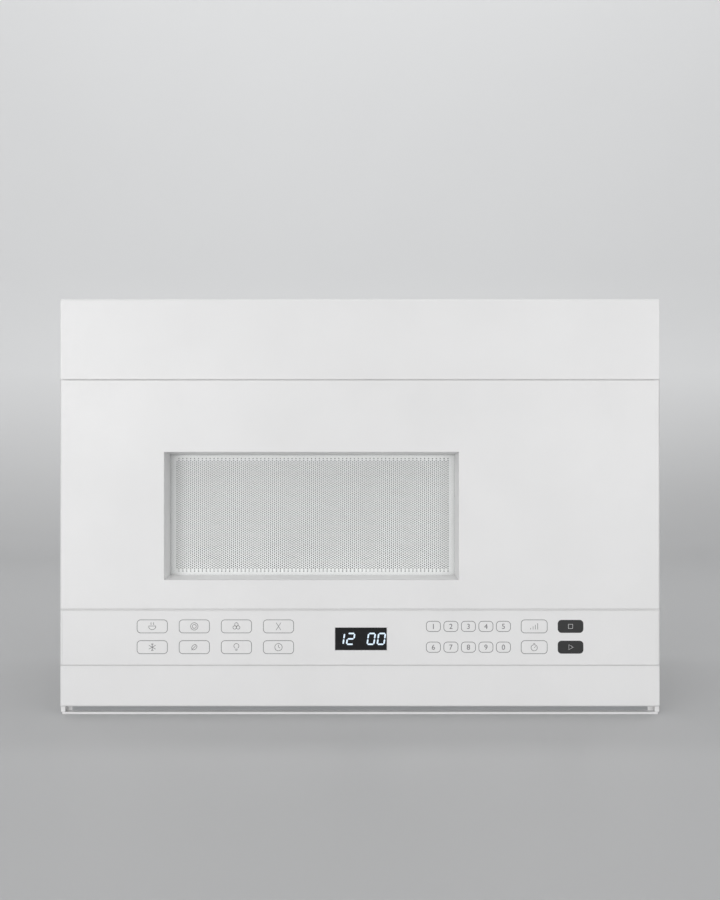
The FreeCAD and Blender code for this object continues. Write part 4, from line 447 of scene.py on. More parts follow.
def banded(name, base, size, axis, waver, tones, metallic, clouds, rough, depth):
    """Even bands: layers of wire, or the edges of stacked sheets."""
    finish = Finish(name)
    bands = finish.bands(size, axis, waver)
    finish.to("Base Color", finish.mixed(bands, toned(base, tones[0]), toned(base, tones[1])))
    finish.to("Metallic", metallic)
    finish.to("Roughness", finish.ranged(finish.noise(clouds, 2), *rough))
    finish.relief(bands, depth)
    return finish.material


def flaked(name, base, size, span, tones, rough, depth):
    """Pressed flakes, or loose grains behind a net."""
    finish = Finish(name)
    flakes = finish.cells(size, "Distance")
    tint = finish.ranged(flakes, 0, 1, *span)
    finish.to("Base Color", finish.mixed(tint, toned(base, tones[0]), toned(base, tones[1])))
    finish.to("Roughness", finish.ranged(flakes, *rough))
    finish.relief(flakes, depth)
    return finish.material


def board_laminate(name, base):
    """Green laminate with paler copper runs under the varnish."""
    finish = Finish(name)
    runs = finish.ranged(finish.cells(3.4 * MM, "Distance", "DISTANCE_TO_EDGE"), 1, 0, 0.05, 0.09)
    finish.to("Base Color", finish.mixed(runs, toned(base, 0.8), toned(base, 2.1)))
    finish.to("Roughness", finish.ranged(finish.noise(5 * MM, 2), 0.26, 0.4))
    finish.relief(runs, 0.03 * MM)
    return finish.material


def see_through(name, tint, gloss, ior=1.46, smear=0.02, ripple=0.0, frost=0.0):
    """Clear sheet: what lies behind shows, with a gloss that grows at a slant."""
    finish = Finish(name)
    clear = finish.added("BsdfTransparent", {"Color": tint})
    cloud = finish.ranged(finish.noise(40 * MM, 2), 0, 1)
    finish.to("Base Color", finish.mixed(cloud, toned(tint, 0.9), tint))
    finish.to("Roughness", finish.ranged(finish.noise(20 * MM, 3), gloss, gloss + smear))
    finish.relief(finish.noise(12 * MM, 2), max(ripple, 0.001 * MM))
    slant = finish.added("LayerWeight", {"Blend": 0.5})
    head_on = ((ior - 1) / (ior + 1)) ** 2
    steep = finish.joined(finish.joined(slant.outputs["Facing"], 5, "POWER"), 1 - head_on, "MULTIPLY")
    haze = finish.ranged(finish.noise(50 * MM, 2), frost + head_on, frost + head_on + 0.01)
    share = finish.joined(steep, haze, "ADD")
    mix = finish.added("MixShader", {"Fac": share, 1: clear.outputs["BSDF"],
                                     2: finish.shader.outputs["BSDF"]})
    finish.feed(finish.output.inputs["Surface"], mix.outputs["Shader"])
    return finish.material


def lit_segment(name, tint, glow):
    """Lit part of the display, a little uneven."""
    finish = Finish(name)
    even = finish.ranged(finish.noise(2 * MM, 2), 0, 1)
    finish.to("Base Color", toned(tint, 0.2))
    finish.to("Emission Color", finish.mixed(even, toned(tint, 0.9), tint))
    finish.to("Emission Strength", glow)
    finish.to("Roughness", finish.ranged(finish.noise(1 * MM, 2), 0.3, 0.4))
    finish.relief(finish.noise(0.8 * MM, 2), 0.002 * MM)
    return finish.material


FINISHES = {}


def make_finishes(tones):
    """One material for each slot of the record, and those of the prints."""
    fine, skin, coarse = 0.001 * MM, 0.015 * MM, 0.5 * MM
    FINISHES.update({
        "white_moulding": moulded("satin_moulding", tones.moulding, 0.36, edge=1.0 * MM),
        "white_paint": moulded("baked_paint", tones.paint, 0.34, 0.9 * MM, 0.012 * MM, edge=0.6 * MM),
        "oven_enamel": speckled_enamel("speckled_enamel", tones.enamel),
        "galvanised_steel": zinc_sheet("zinc_sheet", tones.zinc),
        "bright_steel": sheet_metal("plated_steel", tones.plated, 0.3),
        "core_steel": banded("stacked_laminations", tones.laminations, 0.7 * MM, "Y", 0.3,
                             (0.6, 1.35), 0.6, 8 * MM, (0.4, 0.56), 0.08 * MM),
        "aluminium": sheet_metal("mill_aluminium", tones.aluminium, 0.34, (0.08, 1, 1)),
        "copper_wire": banded("wound_wire", tones.copper, 0.9 * MM, "Z", 0.4,
                              (0.35, 1.25), 0.7, 5 * MM, (0.26, 0.4), 0.3 * MM),
        "ferrite": moulded("sintered_ferrite", tones.ferrite, 0.62, 0.6 * MM, 0.02 * MM, 0.3),
        "mica": flaked("pressed_mica", tones.mica, 2.2 * MM, (0.1, 0.7), (1.15, 0.72),
                       (0.3, 0.55, 0, 0.8), 0.03 * MM),
        "clear_glass": see_through("clear_glass", tones.glass, 0.02),
        "clear_film": see_through("clear_film", (0.95, 0.96, 0.96), 0.08, ripple=0.03 * MM),
        "screen_white": moulded("coated_screen", tones.screen, 0.45, 0.3 * MM),
        "overlay_film": moulded("printed_film", tones.overlay, 0.33, 0.22 * MM, 0.004 * MM),
        "smoked_lens": moulded("smoked_lens", tones.lens, 0.12, height=fine, soft=0.2),
        "circuit_board": board_laminate("board_laminate", tones.board),
        "grey_plastic": moulded("grey_plastic", tones.grey, 0.5, coarse, skin, 0.08),
        "black_plastic": moulded("black_plastic", tones.black, 0.45, coarse, skin, 0.2),
        "white_plastic": moulded("white_plastic", tones.white, 0.42, 0.4 * MM, 0.008 * MM),
        "rubber": moulded("rubber", tones.rubber, 0.7, 0.4 * MM, 0.03 * MM, 0.2),
        "lamp_lens": see_through("frosted_lens", (0.93, 0.93, 0.9), 0.3, smear=0.1,
                                 ripple=0.2 * MM, frost=0.35),
        "charcoal": flaked("charcoal_grains", tones.charcoal, 2.6 * MM, (0, 0.6), (2.2, 0.5),
                           (0.55, 0.9, 0, 0.7), 0.6 * MM),
        "key_ink": moulded("key_ink", tones.ink, 0.5, height=fine, soft=0.1),
        "dark_key": moulded("dark_key", tones.dark_key, 0.36, height=2 * fine, soft=0.2),
        "pale_ink": moulded("pale_ink", (0.66, 0.66, 0.66), 0.5, height=fine),
        # Near-black finish of the vent discs: painted shade of the holes.
        "vent_hole_shade": moulded("vent_shade", (0.02, 0.02, 0.02), 0.8, height=0.01 * MM, soft=0.3),
    })


# Mesh helpers.
def bridge(bm, first, second):
    """Band of faces between two loops of as many vertices."""
    for at in range(len(first)):
        after = (at + 1) % len(first)
        bm.faces.new((first[at], second[at], second[after], first[after]))


def lofted(bm, outlines):
    """Closed solid over outlines of as many points, one after another."""
    loops = [[bm.verts.new(point) for point in outline] for outline in outlines]
    for first, second in zip(loops, loops[1:]):
        bridge(bm, first, second)
    bm.faces.new(loops[0])
    bm.faces.new(list(reversed(loops[-1])))


def plate(bm, outline, y):
    """Flat solid from an outline of (x, z), between two depths."""
    lofted(bm, [[(x, depth, z) for x, z in outline] for depth in y])


def ring(bm, outer, inner, y):
    """Flat ring between two outlines of as many points."""
    sections = ((outer, y[0]), (outer, y[1]), (inner, y[1]), (inner, y[0]))
    loops = [[bm.verts.new((x, depth, z)) for x, z in outline] for outline, depth in sections]
    for first, second in zip(loops, loops[1:] + loops[:1]):
        bridge(bm, first, second)


def rectangle(x, z):
    """Outline from its two x and its two z."""
    return [(x[0], z[0]), (x[1], z[0]), (x[1], z[1]), (x[0], z[1])]


def arc(middle, radius, first, last, steps=16):
    """Points along an arc, in degrees."""
    angles = [math.radians(first + (last - first) * step / steps) for step in range(steps + 1)]
    return [(middle[0] + radius * math.cos(angle), middle[1] + radius * math.sin(angle))
            for angle in angles]


def rounded_outline(middle, width, height, radius, steps=6):
    """Outline of a rectangle with round corners, as (x, z) points."""
    points = []
    for corner, (side, end) in enumerate(((1, 1), (-1, 1), (-1, -1), (1, -1))):
        x = middle[0] + side * (width / 2 - radius)
        z = middle[1] + end * (height / 2 - radius)
        points += arc((x, z), radius, 90 * corner, 90 * (corner + 1), steps)
    return points


def stroke(bm, points, width, y, closed=False):
    """Line of a width along (x, z) points."""
    left, right = [], []
    count = len(points)
    for at, (x, z) in enumerate(points):
        before = points[at - 1] if at or closed else points[at]
        after = points[(at + 1) % count] if at < count - 1 or closed else points[at]
        along = Vector((after[0] - before[0], after[1] - before[1]))
        along = along.normalized() if along.length else Vector((1, 0))
        left.append((x - along.y * width / 2, z + along.x * width / 2))
        right.append((x + along.y * width / 2, z - along.x * width / 2))
    if closed:
        ring(bm, left, right, y)
    else:
        plate(bm, left + list(reversed(right)), y)


def box_solid(bm, low, high):
    """Rectangular solid from its corners."""
    plate(bm, rectangle((low[0], high[0]), (low[2], high[2])), (low[1], high[1]))


def loose_solids(node):
    """Box of each separate solid of a CAD node, as (low corner, high corner)."""
    bm = bmesh.new()
    bm.from_mesh(frame["nodes"][node].data)
    bmesh.ops.remove_doubles(bm, verts=bm.verts, dist=0.001 * MM)
    unseen = set(bm.verts)
    boxes = []
    while unseen:
        wave = [unseen.pop()]
        group = list(wave)
        while wave:
            vert = wave.pop()
            for edge in vert.link_edges:
                other = edge.other_vert(vert)
                if other in unseen:
                    unseen.remove(other)
                    wave.append(other)
                    group.append(other)
        boxes.append([Vector(end(vert.co[axis] for vert in group) for axis in range(3))
                      for end in (min, max)])
    bm.free()
    return sorted(boxes, key=lambda box: tuple(round(part, 5) for part in box[0]))


def new_piece(name, bm, finish, body, smooth=False, outward=True):
    """A piece from a mesh under construction, which rides on its body."""
    if outward:
        bmesh.ops.recalc_face_normals(bm, faces=bm.faces)
    mesh = bpy.data.meshes.new(name)
    bm.to_mesh(mesh)
    bm.free()
    mesh.materials.append(FINISHES[finish])
    if smooth:
        mesh.shade_smooth()
    piece = bpy.data.objects.new(name, mesh)
    bpy.context.scene.collection.objects.link(piece)
    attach(piece, body)
    return piece


# Pieces.
class MICROWAVE_OT_finishes(Operator):
    """Give each CAD node its finish"""

    bl_idname = "microwave.finishes"
    bl_label = "Finishes"

    def execute(self, context):
        make_finishes(context.scene.microwave_finishes)
        for part in frame["record"]["subparts"]:
            node = frame["nodes"][part["node"]]
            if not node.material_slots:
                node.data.materials.append(None)
            for slot in node.material_slots:
                slot.link = "OBJECT"
                slot.material = FINISHES[part["material_slot"]]
        return {"FINISHED"}


CELL = ((1, 0), (1, 1), (-1, 1), (-1, 0), (-1, -1), (1, -1))


class MICROWAVE_OT_door_screen(Operator):
    """Build the door's steel screen with its field of holes, whose even columns are shorter"""

    bl_idname = "microwave.door_screen"
    bl_label = "Door screen"

    def execute(self, context):
        sizes = context.scene.microwave_screen
        low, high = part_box("door_screen")
        left, right = low.x + sizes.left, high.x - sizes.right
        bottom, top = low.z + sizes.bottom, high.z - sizes.top
        step = sizes.pitch * math.cos(math.radians(30))
        columns = int((right - left) / step)
        rows = int((top - bottom) / sizes.pitch)
        left = (left + right - columns * step) / 2
        right = left + columns * step
        bottom = (bottom + top - (rows + 0.5) * sizes.pitch) / 2
        top = bottom + (rows + 0.5) * sizes.pitch
        near, far, rim = low.y, low.y + sizes.sheet, low.y + sizes.rim
        bm = bmesh.new()

        def corners(outline, depth):
            return [bm.verts.new((x, depth, z)) for x, z in outline]

        for column in range(columns):
            x = left + (column + 0.5) * step
            even = column % 2 == 0
            start = bottom if even else bottom + sizes.pitch / 2
            for row in range(rows):
                z = start + (row + 0.5) * sizes.pitch
                cell = corners([(x + side * step / 2, z + end * sizes.pitch / 2)
                                for side, end in CELL], near)
                if even and row in (0, 1, rows - 1):
                    bm.faces.new(cell)
                    continue
                hole = arc((x, z), sizes.hole / 2, 0, 300, 5)
                mouth, root = corners(hole, near), corners(hole, far)
                bridge(bm, cell, mouth)
                bridge(bm, mouth, root)
            spare = (bottom + rows * sizes.pitch, top) if even else (bottom, start)
            bm.faces.new(corners(rectangle((x - step / 2, x + step / 2), spare), near))
        for strip in (((low.x, left), (low.z, high.z)), ((right, high.x), (low.z, high.z)),
                      ((left, right), (low.z, bottom)), ((left, right), (top, high.z))):
            plate(bm, rectangle(*strip), (near, rim))
        screen = new_piece("screen_with_holes", bm, "screen_white", "door",
                           outward=False)
        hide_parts("door_screen")
        return {"FINISHED"}


ICONS = {
    "bowl": [(arc((0, 0.1), 0.95, 180, 360), True),
             ([(-0.35, 0.4), (-0.2, 0.6), (-0.4, 0.8), (-0.25, 1.0)], False),
             ([(0.3, 0.4), (0.45, 0.6), (0.25, 0.8), (0.4, 1.0)], False)],
    "plate": [(arc((0, 0), 0.95, 0, 345, 28), True), (arc((0, 0), 0.5, 0, 345, 20), True)],
    "fan": [(arc((0.0, 0.5), 0.45, 0, 345, 16), True), (arc((-0.45, -0.27), 0.45, 0, 345, 16), True),
            (arc((0.45, -0.27), 0.45, 0, 345, 16), True)],
    "hourglass": [([(-0.6, 0.95), (0.6, 0.95), (-0.6, -0.95), (0.6, -0.95)], True)],
    "snow": [([(0, -1), (0, 1)], False), ([(-0.87, -0.5), (0.87, 0.5)], False),
             ([(-0.87, 0.5), (0.87, -0.5)], False),
             ([(-0.3, 0.9), (0, 0.6), (0.3, 0.9)], False),
             ([(-0.3, -0.9), (0, -0.6), (0.3, -0.9)], False)],
    "leaf": [(arc((-0.5, 0.5), 1.25, -80, -10, 12) + arc((0.5, -0.5), 1.25, 100, 170, 12), True),
             ([(-0.75, -0.75), (0.4, 0.4)], False)],
    "bulb": [(arc((0, 0.3), 0.65, -55, 235, 22), False), ([(-0.35, -0.5), (0.35, -0.5)], False),
             ([(-0.25, -0.8), (0.25, -0.8)], False)],
    "clock": [(arc((0, 0), 0.95, 0, 345, 28), True), ([(0, 0.6), (0, 0), (0.4, -0.2)], False)],
    "bars": [([(-0.9, -0.8), (-0.9, -0.4)], False), ([(-0.3, -0.8), (-0.3, 0.0)], False),
             ([(0.3, -0.8), (0.3, 0.4)], False), ([(0.9, -0.8), (0.9, 0.8)], False)],
    "stopwatch": [(arc((0, -0.15), 0.8, 0, 345, 26), True), ([(-0.25, 0.95), (0.25, 0.95)], False),
                  ([(0, -0.15), (0.35, 0.2)], False)],
    "stop": [([(-0.55, -0.55), (0.55, -0.55), (0.55, 0.55), (-0.55, 0.55)], True)],
    "start": [([(-0.45, -0.65), (0.7, 0), (-0.45, 0.65)], True)],
}
WIDE_KEYS = (("bowl", "plate", "fan", "hourglass"), ("snow", "leaf", "bulb", "clock"))
SIDE_KEYS = ("bars", "stopwatch")
DARK_KEYS = ("stop", "start")
DIGIT_KEYS = ("12345", "67890")


def draw_icon(bm, icon, middle, size, width, y):
    """Strokes of a plain sign, about a point."""
    for points, closed in ICONS[icon]:
        placed = [(middle[0] + size * x, middle[1] + size * z) for x, z in points]
        stroke(bm, placed, width, y, closed)


def digit_mesh(bm, sign, middle, height, y):
    """A printed digit from the built in font, as a thin solid."""
    text = bpy.data.curves.new("digit", "FONT")
    text.body = sign
    text.extrude = 0.5
    holder = bpy.data.objects.new("digit", text)
    bpy.context.scene.collection.objects.link(holder)
    bpy.context.view_layer.update()
    mesh = bpy.data.meshes.new_from_object(holder)
    bpy.data.objects.remove(holder)
    xs = [vert.co.x for vert in mesh.vertices]
    zs = [vert.co.y for vert in mesh.vertices]
    scale = height / (max(zs) - min(zs))
    centre = ((max(xs) + min(xs)) / 2, (max(zs) + min(zs)) / 2)
    for vert in mesh.vertices:
        across, up, depth = vert.co.x - centre[0], vert.co.y - centre[1], y[0 if vert.co.z > 0 else 1]
        vert.co = (middle[0] + across * scale, depth, middle[1] + up * scale)
    bm.from_mesh(mesh)
    bpy.data.meshes.remove(mesh)


class MICROWAVE_OT_control_face(Operator):
    """Build the control film with its key lines, digits and icons"""

    bl_idname = "microwave.control_face"
    bl_label = "Control face"

    def execute(self, context):
        sizes = context.scene.microwave_keys
        low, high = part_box("control_overlay")
        lens_low, lens_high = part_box("display_window")
        face = low.y + PRINT_RELIEF
        printed = (low.y, face)
        left = CAD_BOX[0].x
        rows = (sizes.upper_row, sizes.lower_row)

        film = bmesh.new()
        hole = rectangle((lens_low.x, lens_high.x), (lens_low.z, lens_high.z))
        ring(film, rectangle((low.x, high.x), (low.z, high.z)), hole, (face, high.y))
        sheet = new_piece("control_film", film, "overlay_film", "cabinet")
        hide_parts("control_overlay")

        lines, dark, pale = bmesh.new(), bmesh.new(), bmesh.new()

        def outlined(middle, width, height):
            outer, inner = (rounded_outline(middle, width - 2 * cut, height - 2 * cut,
                                            sizes.corner - cut) for cut in (0, sizes.line))
            ring(lines, outer, inner, printed)

        def drawn(bm, icon, y):
            draw_icon(bm, icon, middle, sizes.icon_size, sizes.icon_line, y)

        for row, z in enumerate(rows):
            for column, icon in enumerate(WIDE_KEYS[row]):
                middle = (left + sizes.wide_first + column * sizes.wide_pitch, z)
                outlined(middle, sizes.wide_width, sizes.wide_height)
                drawn(lines, icon, printed)
            for column, sign in enumerate(DIGIT_KEYS[row]):
                middle = (left + sizes.digit_first + column * sizes.digit_pitch, z)
                outlined(middle, sizes.digit_width, sizes.digit_height)
                digit_mesh(lines, sign, middle, sizes.digit_print, printed)
            middle = (left + sizes.side_place, z)
            outlined(middle, sizes.side_width, sizes.wide_height)
            drawn(lines, SIDE_KEYS[row], printed)
            middle = (left + sizes.dark_place, z)
            key = rounded_outline(middle, sizes.dark_width, sizes.dark_height, sizes.corner)
            plate(dark, key, (face - PRINT_RELIEF / 2, face))
            drawn(pale, DARK_KEYS[row], (low.y, face - PRINT_RELIEF / 2))
        new_piece("key_print", lines, "key_ink", "cabinet")
        new_piece("dark_key_print", dark, "dark_key", "cabinet")
        new_piece("dark_key_icons", pale, "pale_ink", "cabinet")
        return {"FINISHED"}


SEGMENTS = {"0": "abcdef", "1": "bc", "2": "abged", "3": "abgcd", "4": "fgbc", "5": "afgcd",
            "6": "afgedc", "7": "abc", "8": "abcdefg", "9": "abcdfg"}


class MICROWAVE_OT_display(Operator):
    """Build the display lens with its rim and lit clock digits"""

    bl_idname = "microwave.display"
    bl_label = "Display"

    def execute(self, context):
        sizes = context.scene.microwave_display
        low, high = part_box("display_window")
        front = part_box("control_overlay")[0].y
        face = front + PRINT_RELIEF
        middle = ((low.x + high.x) / 2, (low.z + high.z) / 2)
        width, height = high.x - low.x, high.z - low.z

        outer = rounded_outline(middle, width, height, sizes.corner + sizes.rim)
        inner = rounded_outline(middle, width - 2 * sizes.rim, height - 2 * sizes.rim, sizes.corner)
        lens, rim = bmesh.new(), bmesh.new()
        plate(lens, inner, (face, high.y))
        window = new_piece("display_lens", lens, "smoked_lens", "cabinet")
        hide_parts("display_window")
        ring(rim, outer, inner, (front + PRINT_RELIEF / 3, high.y))
        new_piece("display_rim", rim, "white_moulding", "cabinet")

        FINISHES["lit_segment"] = lit_segment("lit_segment", sizes.lit, sizes.glow)
        lit = bmesh.new()
        half = sizes.stroke / 2
        wide, tall = sizes.digit_width, sizes.digit_height
        total = 4 * sizes.digit_pitch + sizes.pair_gap - (sizes.digit_pitch - wide)
        start = middle[0] - total / 2
        left, right, base, centre, top = half, wide - half, half, tall / 2, tall - half
        bars = {"a": ((left, top), (right, top)), "b": ((right, centre), (right, top)),
                "c": ((right, base), (right, centre)), "d": ((left, base), (right, base)),
                "e": ((left, base), (left, centre)), "f": ((left, centre), (left, top)),
                "g": ((left, centre), (right, centre))}
        lean = math.tan(sizes.slant)
        for sign in sizes.shown:
            if sign == " ":
                start += sizes.pair_gap
                continue
            for name in SEGMENTS[sign]:
                one, two = (Vector(point) for point in bars[name])
                along = (two - one).normalized()
                side = Vector((-along.y, along.x)) * half
                one, two = one + along * sizes.gap, two - along * sizes.gap
                outline = [one, one + along * half + side, two - along * half + side, two,
                           two - along * half - side, one + along * half - side]
                plate(lit, [(start + point.x + (point.y - centre) * lean,
                             middle[1] - centre + point.y) for point in outline], (front, face))
            start += sizes.digit_pitch
        new_piece("clock_digits", lit, "lit_segment", "cabinet")
        return {"FINISHED"}


class MICROWAVE_OT_latch_spring(Operator):
    """Build the latch's coil spring"""

    bl_idname = "microwave.latch_spring"
    bl_label = "Latch spring"

    def execute(self, context):
        sizes = context.scene.microwave_spring
        low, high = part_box("latch_spring")
        wire = sizes.wire / 2
        middle = Vector(((low.x + high.x) / 2, (low.y + high.y) / 2))
        radius = (high.x - low.x) / 2 - wire
        rise = high.z - low.z - 2 * wire
        steps = sizes.turns * sizes.steps
        bm = bmesh.new()
        turns = [2 * math.pi * side / sizes.sides for side in range(sizes.sides)]
        loops = []
        for step in range(steps + 1):
            angle = 2 * math.pi * step / sizes.steps
            outward = Vector((math.cos(angle), math.sin(angle), 0))
            point = Vector((middle.x, middle.y, low.z + wire + rise * step / steps))
            point += outward * radius
            loops.append([point + outward * wire * math.cos(turn)
                          + Vector((0, 0, wire * math.sin(turn))) for turn in turns])
        lofted(bm, loops)
        coil = new_piece("latch_coil", bm, "bright_steel", "door", smooth=True)
        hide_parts("latch_spring")
        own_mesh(coil)
        return {"FINISHED"}


class MICROWAVE_OT_seams(Operator):
    """Build the return lips behind the door's seams, the end stops of the lower recess, and a grey
    strip painted as the shade at its back
    """

    bl_idname = "microwave.seams"
    bl_label = "Seam lips"

    def execute(self, context):
        sizes = context.scene.microwave_seams
        door_low, door_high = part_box("door_outer_frame")
        front = door_low.y + sizes.depth
        lips = bmesh.new()
        for panel, side in (("top_vent_panel", 0), ("control_panel", 1)):
            low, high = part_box(panel)
            edges = ((door_high.z + sizes.clearance, low.z), (high.z, door_low.z - sizes.clearance))
            across = (low.x + sizes.clearance, high.x - sizes.clearance)
            plate(lips, rectangle(across, edges[side]), (front, front + sizes.thickness))
        new_piece("seam_lips", lips, "white_moulding", "cabinet")

        low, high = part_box("base_plate")
        wall = low.y + sizes.recess
        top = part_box("lower_front_panel")[0].z + sizes.overlap
        stops, strip = bmesh.new(), bmesh.new()
        for x in ((low.x + sizes.stop_edge, low.x + sizes.stop),
                  (high.x - sizes.stop, high.x - sizes.stop_edge)):
            plate(stops, rectangle(x, (low.z + sizes.stop_foot, top)), (wall, wall + sizes.stop_sheet))
        new_piece("recess_ends", stops, "white_paint", "cabinet")
        # Painted shade: a grey strip across the recess's back, darker than the paint round it, for the
        # shade in the gap under the chin.
        across = (low.x + sizes.stop, high.x - sizes.stop)
        plate(strip, rectangle(across, (low.z + sizes.strip, top)), (wall, wall + sizes.strip_sheet))
        new_piece("recess_strip", strip, "grey_plastic", "cabinet")
        return {"FINISHED"}


class MICROWAVE_OT_grease_mesh(Operator):
    """Build the expanded mesh of both grease filters"""

    bl_idname = "microwave.grease_mesh"
    bl_label = "Grease filter mesh"

    def execute(self, context):
        sizes = context.scene.microwave_mesh
        for side in ("left", "right"):
            low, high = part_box(f"grease_filter_{side}")
            x = (low.x + sizes.border, high.x - sizes.border)
            y = (low.y + sizes.border, high.y - sizes.border)
            underside = high.z - sizes.depth
            half, hop = sizes.strand / 2, sizes.opening / 2
            rows = int((y[1] - y[0] - sizes.strand) / sizes.row)
            hops = int((x[1] - x[0] - sizes.strand) / hop)
            start = x[0] + (x[1] - x[0] - hops * hop) / 2
            sway = sizes.row / 2 - half * 0.6
            bm = bmesh.new()
            for layer, level in enumerate((underside + sizes.first_layer,
                                           underside + sizes.second_layer,
                                           high.z - sizes.top_layer)):
                for row in range(rows):
                    middle = y[0] + half + (row + 0.5) * sizes.row
                    loops = []
                    for at in range(hops + 1):
                        px = start + at * hop
                        py = middle + (sway if (at + row + layer) % 2 else -sway)
                        loops.append([(px, py - half, level), (px, py + half, level),
                                      (px, py, level + sizes.strand * 0.8)])
                    lofted(bm, loops)
            new_piece(f"grease_mesh_{side}", bm, "aluminium", f"{side}_filter")
        return {"FINISHED"}


# Shares of a head's radius and height; the last is the floor of its cross recess.
HEAD_PROFILE = ((1, 0), (1, 0.45), (0.86, 0.78), (0.55, 0.96), (0.42, 1.0), (0.3, 0.55))
CROSS_WAIST = 0.45


class MICROWAVE_OT_screws(Operator):
    """Build the case screws with domed heads and cross recesses"""

    bl_idname = "microwave.screws"
    bl_label = "Screws"

    def execute(self, context):
        sizes = context.scene.microwave_screws
        bm = bmesh.new()
        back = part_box("back_panel")[1].y
        for low, high in loose_solids("case_screws"):
            radius = (high.x - low.x) / 2
            x, z = (low.x + high.x) / 2, (low.z + high.z) / 2
            seat, tip = (back, high.y) if high.y > back else (low.y + sizes.head, low.y)
            loops = []
            for across, rise in HEAD_PROFILE:
                recess = (across, rise) == HEAD_PROFILE[-1]
                loop = []
                for at in range(sizes.sides):
                    angle = 2 * math.pi * at / sizes.sides
                    reach = radius * across * (CROSS_WAIST if recess and at % 5 else 1)
                    loop.append((x + reach * math.cos(angle), seat + (tip - seat) * rise,
                                 z + reach * math.sin(angle)))
                loops.append(loop)
            lofted(bm, loops)
        heads = new_piece("screw_heads", bm, "bright_steel", "cabinet")
        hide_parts("case_screws")
        return {"FINISHED"}


# Share of a space that lies outside the outer bars of the grille.
OUTER_SPACE = 0.4


class MICROWAVE_OT_oven_details(Operator):
    """Build the lamp grille, and near-black discs on the oven wall painted as the shade of its steam
    vents
    """

    bl_idname = "microwave.oven_details"
    bl_label = "Oven details"

    def execute(self, context):
        sizes = context.scene.microwave_oven
        low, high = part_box("oven_cavity")
        lamp_low, lamp_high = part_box("cavity_lamp")
        lamp = (lamp_low + lamp_high) / 2
        wall = high.x - sizes.sheet
        reach = (lamp_high.z - lamp_low.z) / 2 + sizes.margin
        bar = sizes.bar
        grille = bmesh.new()
        space = reach / (sizes.bars + OUTER_SPACE)
        for place in range(-sizes.bars, sizes.bars + 1):
            across = place * space
            box_solid(grille, (wall - sizes.thickness, lamp.y - reach, lamp.z + across - bar),
                      (wall, lamp.y + reach, lamp.z + across + bar))
            face = wall - sizes.layer
            box_solid(grille, (face - sizes.thickness, lamp.y + across - bar, lamp.z - reach),
                      (face, lamp.y + across + bar, lamp.z + reach))
        new_piece("lamp_grille", grille, "oven_enamel", "cabinet")

        # Painted shade: each vent is a near-black disc a hair proud of the wall, in place of a dark
        # hole.
        vents = bmesh.new()
        inner = low.x + sizes.sheet
        for row in range(sizes.rows):
            for column in range(sizes.vents):
                y = high.y - sizes.vent_back + (column + row % 2 / 2) * sizes.vent_pitch
                z = high.z - sizes.vent_top + row * sizes.row_pitch
                points = arc((y, z), sizes.vent, 0, 324, 9)
                lofted(vents, [[(x, py, pz) for py, pz in points]
                               for x in (inner + sizes.relief, inner)])
        new_piece("steam_vents", vents, "vent_hole_shade", "cabinet")
        return {"FINISHED"}


# Stage.
def stage_material(name, floor, wall):
    """Satin floor that turns into a paler matt wall behind."""
    finish = Finish(name)
    height = finish.added("SeparateXYZ", {"Vector": finish.place}).outputs["Z"]
    rise = finish.ranged(height, 0, 1, 0.0, 0.5)
    tone = finish.mixed(rise, floor, wall)
    cloud = finish.ranged(finish.noise(0.6, 2), 0, 1)
    darker = finish.mixed(rise, toned(floor, 0.985), toned(wall, 0.985))
    finish.to("Base Color", finish.mixed(cloud, tone, darker))
    finish.to("Roughness", finish.ranged(rise, 0.42, 0.7, 0, 1))
    return finish.material


def area_lamp(name, watts, place, target, size):
    """Soft rectangular lamp aimed at a point."""
    lamp = bpy.data.lights.new(name, "AREA")
    lamp.shape = "RECTANGLE"
    lamp.size, lamp.size_y = size
    lamp.energy = watts
    holder = bpy.data.objects.new(name, lamp)
    holder.location = place
    holder.rotation_euler = (Vector(target) - Vector(place)).to_track_quat("-Z", "Y").to_euler()
    bpy.context.scene.collection.objects.link(holder)


# Metres: reach of the floor, start and radius of the sweep, top of the backdrop.
FLOOR_REACH, SWEEP_START, SWEEP_RADIUS, BACKDROP_TOP = 30.0, 1.6, 0.8, 5.0
# Lamp: its place, the point that it is aimed at and its size, in metres.
LAMPS = {
    "key": ((-2.1, -4.4, 0.7), (0, -0.1, 0.25), (2.2, 0.8)),
    "top": ((0.1, -1.3, 2.6), (0, 0.0, 0.2), (2.6, 2.2)),
    "wall": ((0, 0.9, 3.4), (0, 2.4, 1.0), (4.0, 0.8)),
    "fill": ((1.4, -3.2, 0.5), (0, -0.1, 0.25), (1.8, 0.7)),
}


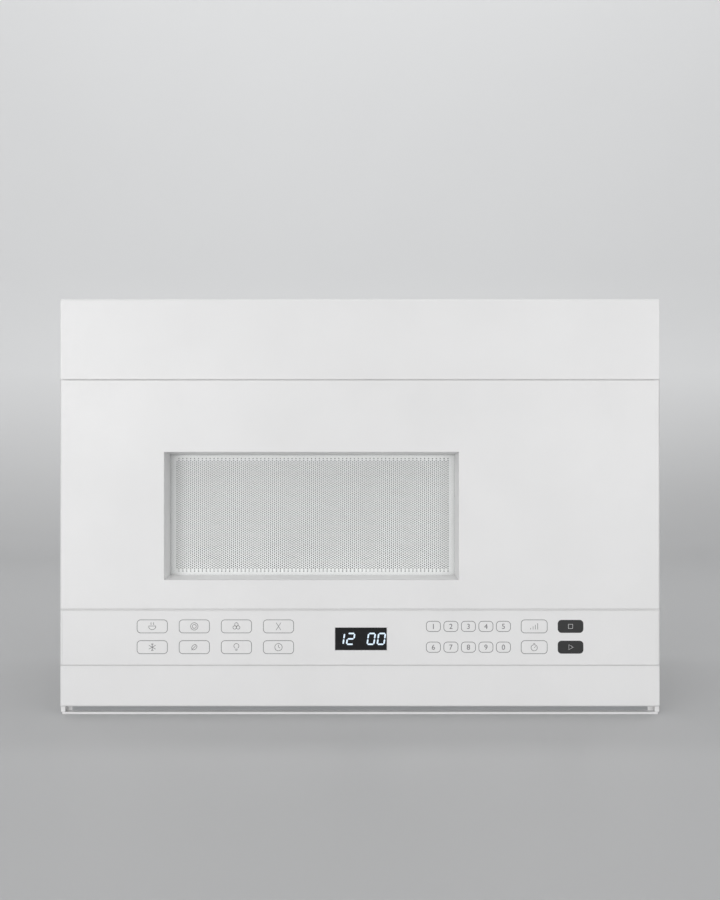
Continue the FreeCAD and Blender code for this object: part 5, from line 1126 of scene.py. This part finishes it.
class MICROWAVE_OT_stage(Operator):
    """Set the floor, the backdrop, the lamps and the camera"""

    bl_idname = "microwave.stage"
    bl_label = "Stage"

    def execute(self, context):
        sizes = context.scene.microwave_stage
        bm = bmesh.new()
        profile = [(-FLOOR_REACH, 0.0), (SWEEP_START, 0.0)]
        profile += arc((SWEEP_START, SWEEP_RADIUS), SWEEP_RADIUS, -80, 0, 8)
        profile.append((SWEEP_START + SWEEP_RADIUS, BACKDROP_TOP))
        lines = [[bm.verts.new((x, y, z)) for x in (-FLOOR_REACH, FLOOR_REACH)] for y, z in profile]
        for first, second in zip(lines, lines[1:]):
            bm.faces.new((first[0], first[1], second[1], second[0]))
        mesh = bpy.data.meshes.new("floor_sweep")
        bm.to_mesh(mesh)
        bm.free()
        mesh.materials.append(stage_material("floor_paper", sizes.floor_tone, sizes.wall_tone))
        mesh.shade_smooth()
        sweep = bpy.data.objects.new("floor_sweep", mesh)
        context.scene.collection.objects.link(sweep)

        for name, (place, target, size) in LAMPS.items():
            area_lamp(f"{name}_lamp", getattr(sizes, f"{name}_power"), place, target, size)

        world = bpy.data.worlds.new("studio")
        world.use_nodes = True
        background = world.node_tree.nodes["Background"]
        background.inputs["Color"].default_value = (0.99, 0.995, 1.0, 1)
        background.inputs["Strength"].default_value = sizes.sky
        context.scene.world = world

        front = CAD_BOX[0].y
        lens = bpy.data.cameras.new("camera")
        lens.lens = sizes.focal_length
        lens.sensor_width = 36
        lens.clip_start, lens.clip_end = 0.05, 50
        camera = bpy.data.objects.new("camera", lens)
        camera.location = (0, front - sizes.camera_distance, sizes.camera_height)
        camera.rotation_euler = Euler((math.pi / 2, 0, 0))
        context.scene.collection.objects.link(camera)
        context.scene.camera = camera
        context.scene.view_settings.view_transform = "Standard"
        return {"FINISHED"}


class MICROWAVE_PT_pieces(Panel):
    """Steps that build the look of the oven"""

    bl_label = "Microwave"
    bl_idname = "MICROWAVE_PT_pieces"
    bl_space_type = "VIEW_3D"
    bl_region_type = "UI"
    bl_category = "Microwave"

    def draw(self, context):
        for step in STEPS:
            self.layout.operator(step.bl_idname)


STEPS = (
    MICROWAVE_OT_finishes,
    MICROWAVE_OT_door_screen,
    MICROWAVE_OT_control_face,
    MICROWAVE_OT_display,
    MICROWAVE_OT_latch_spring,
    MICROWAVE_OT_seams,
    MICROWAVE_OT_grease_mesh,
    MICROWAVE_OT_screws,
    MICROWAVE_OT_oven_details,
    MICROWAVE_OT_stage,
)


def register():
    for name, group in SETTINGS.items():
        bpy.utils.register_class(group)
        setattr(bpy.types.Scene, name, PointerProperty(type=group))
    for step in STEPS:
        bpy.utils.register_class(step)
    bpy.utils.register_class(MICROWAVE_PT_pieces)


def unregister():
    bpy.utils.unregister_class(MICROWAVE_PT_pieces)
    for step in reversed(STEPS):
        bpy.utils.unregister_class(step)
    for name, group in reversed(SETTINGS.items()):
        delattr(bpy.types.Scene, name)
        bpy.utils.unregister_class(group)


def main():
    register()
    for step in STEPS:
        family, name = step.bl_idname.split(".")
        getattr(getattr(bpy.ops, family), name)()


if __name__ == "__main__":
    main()
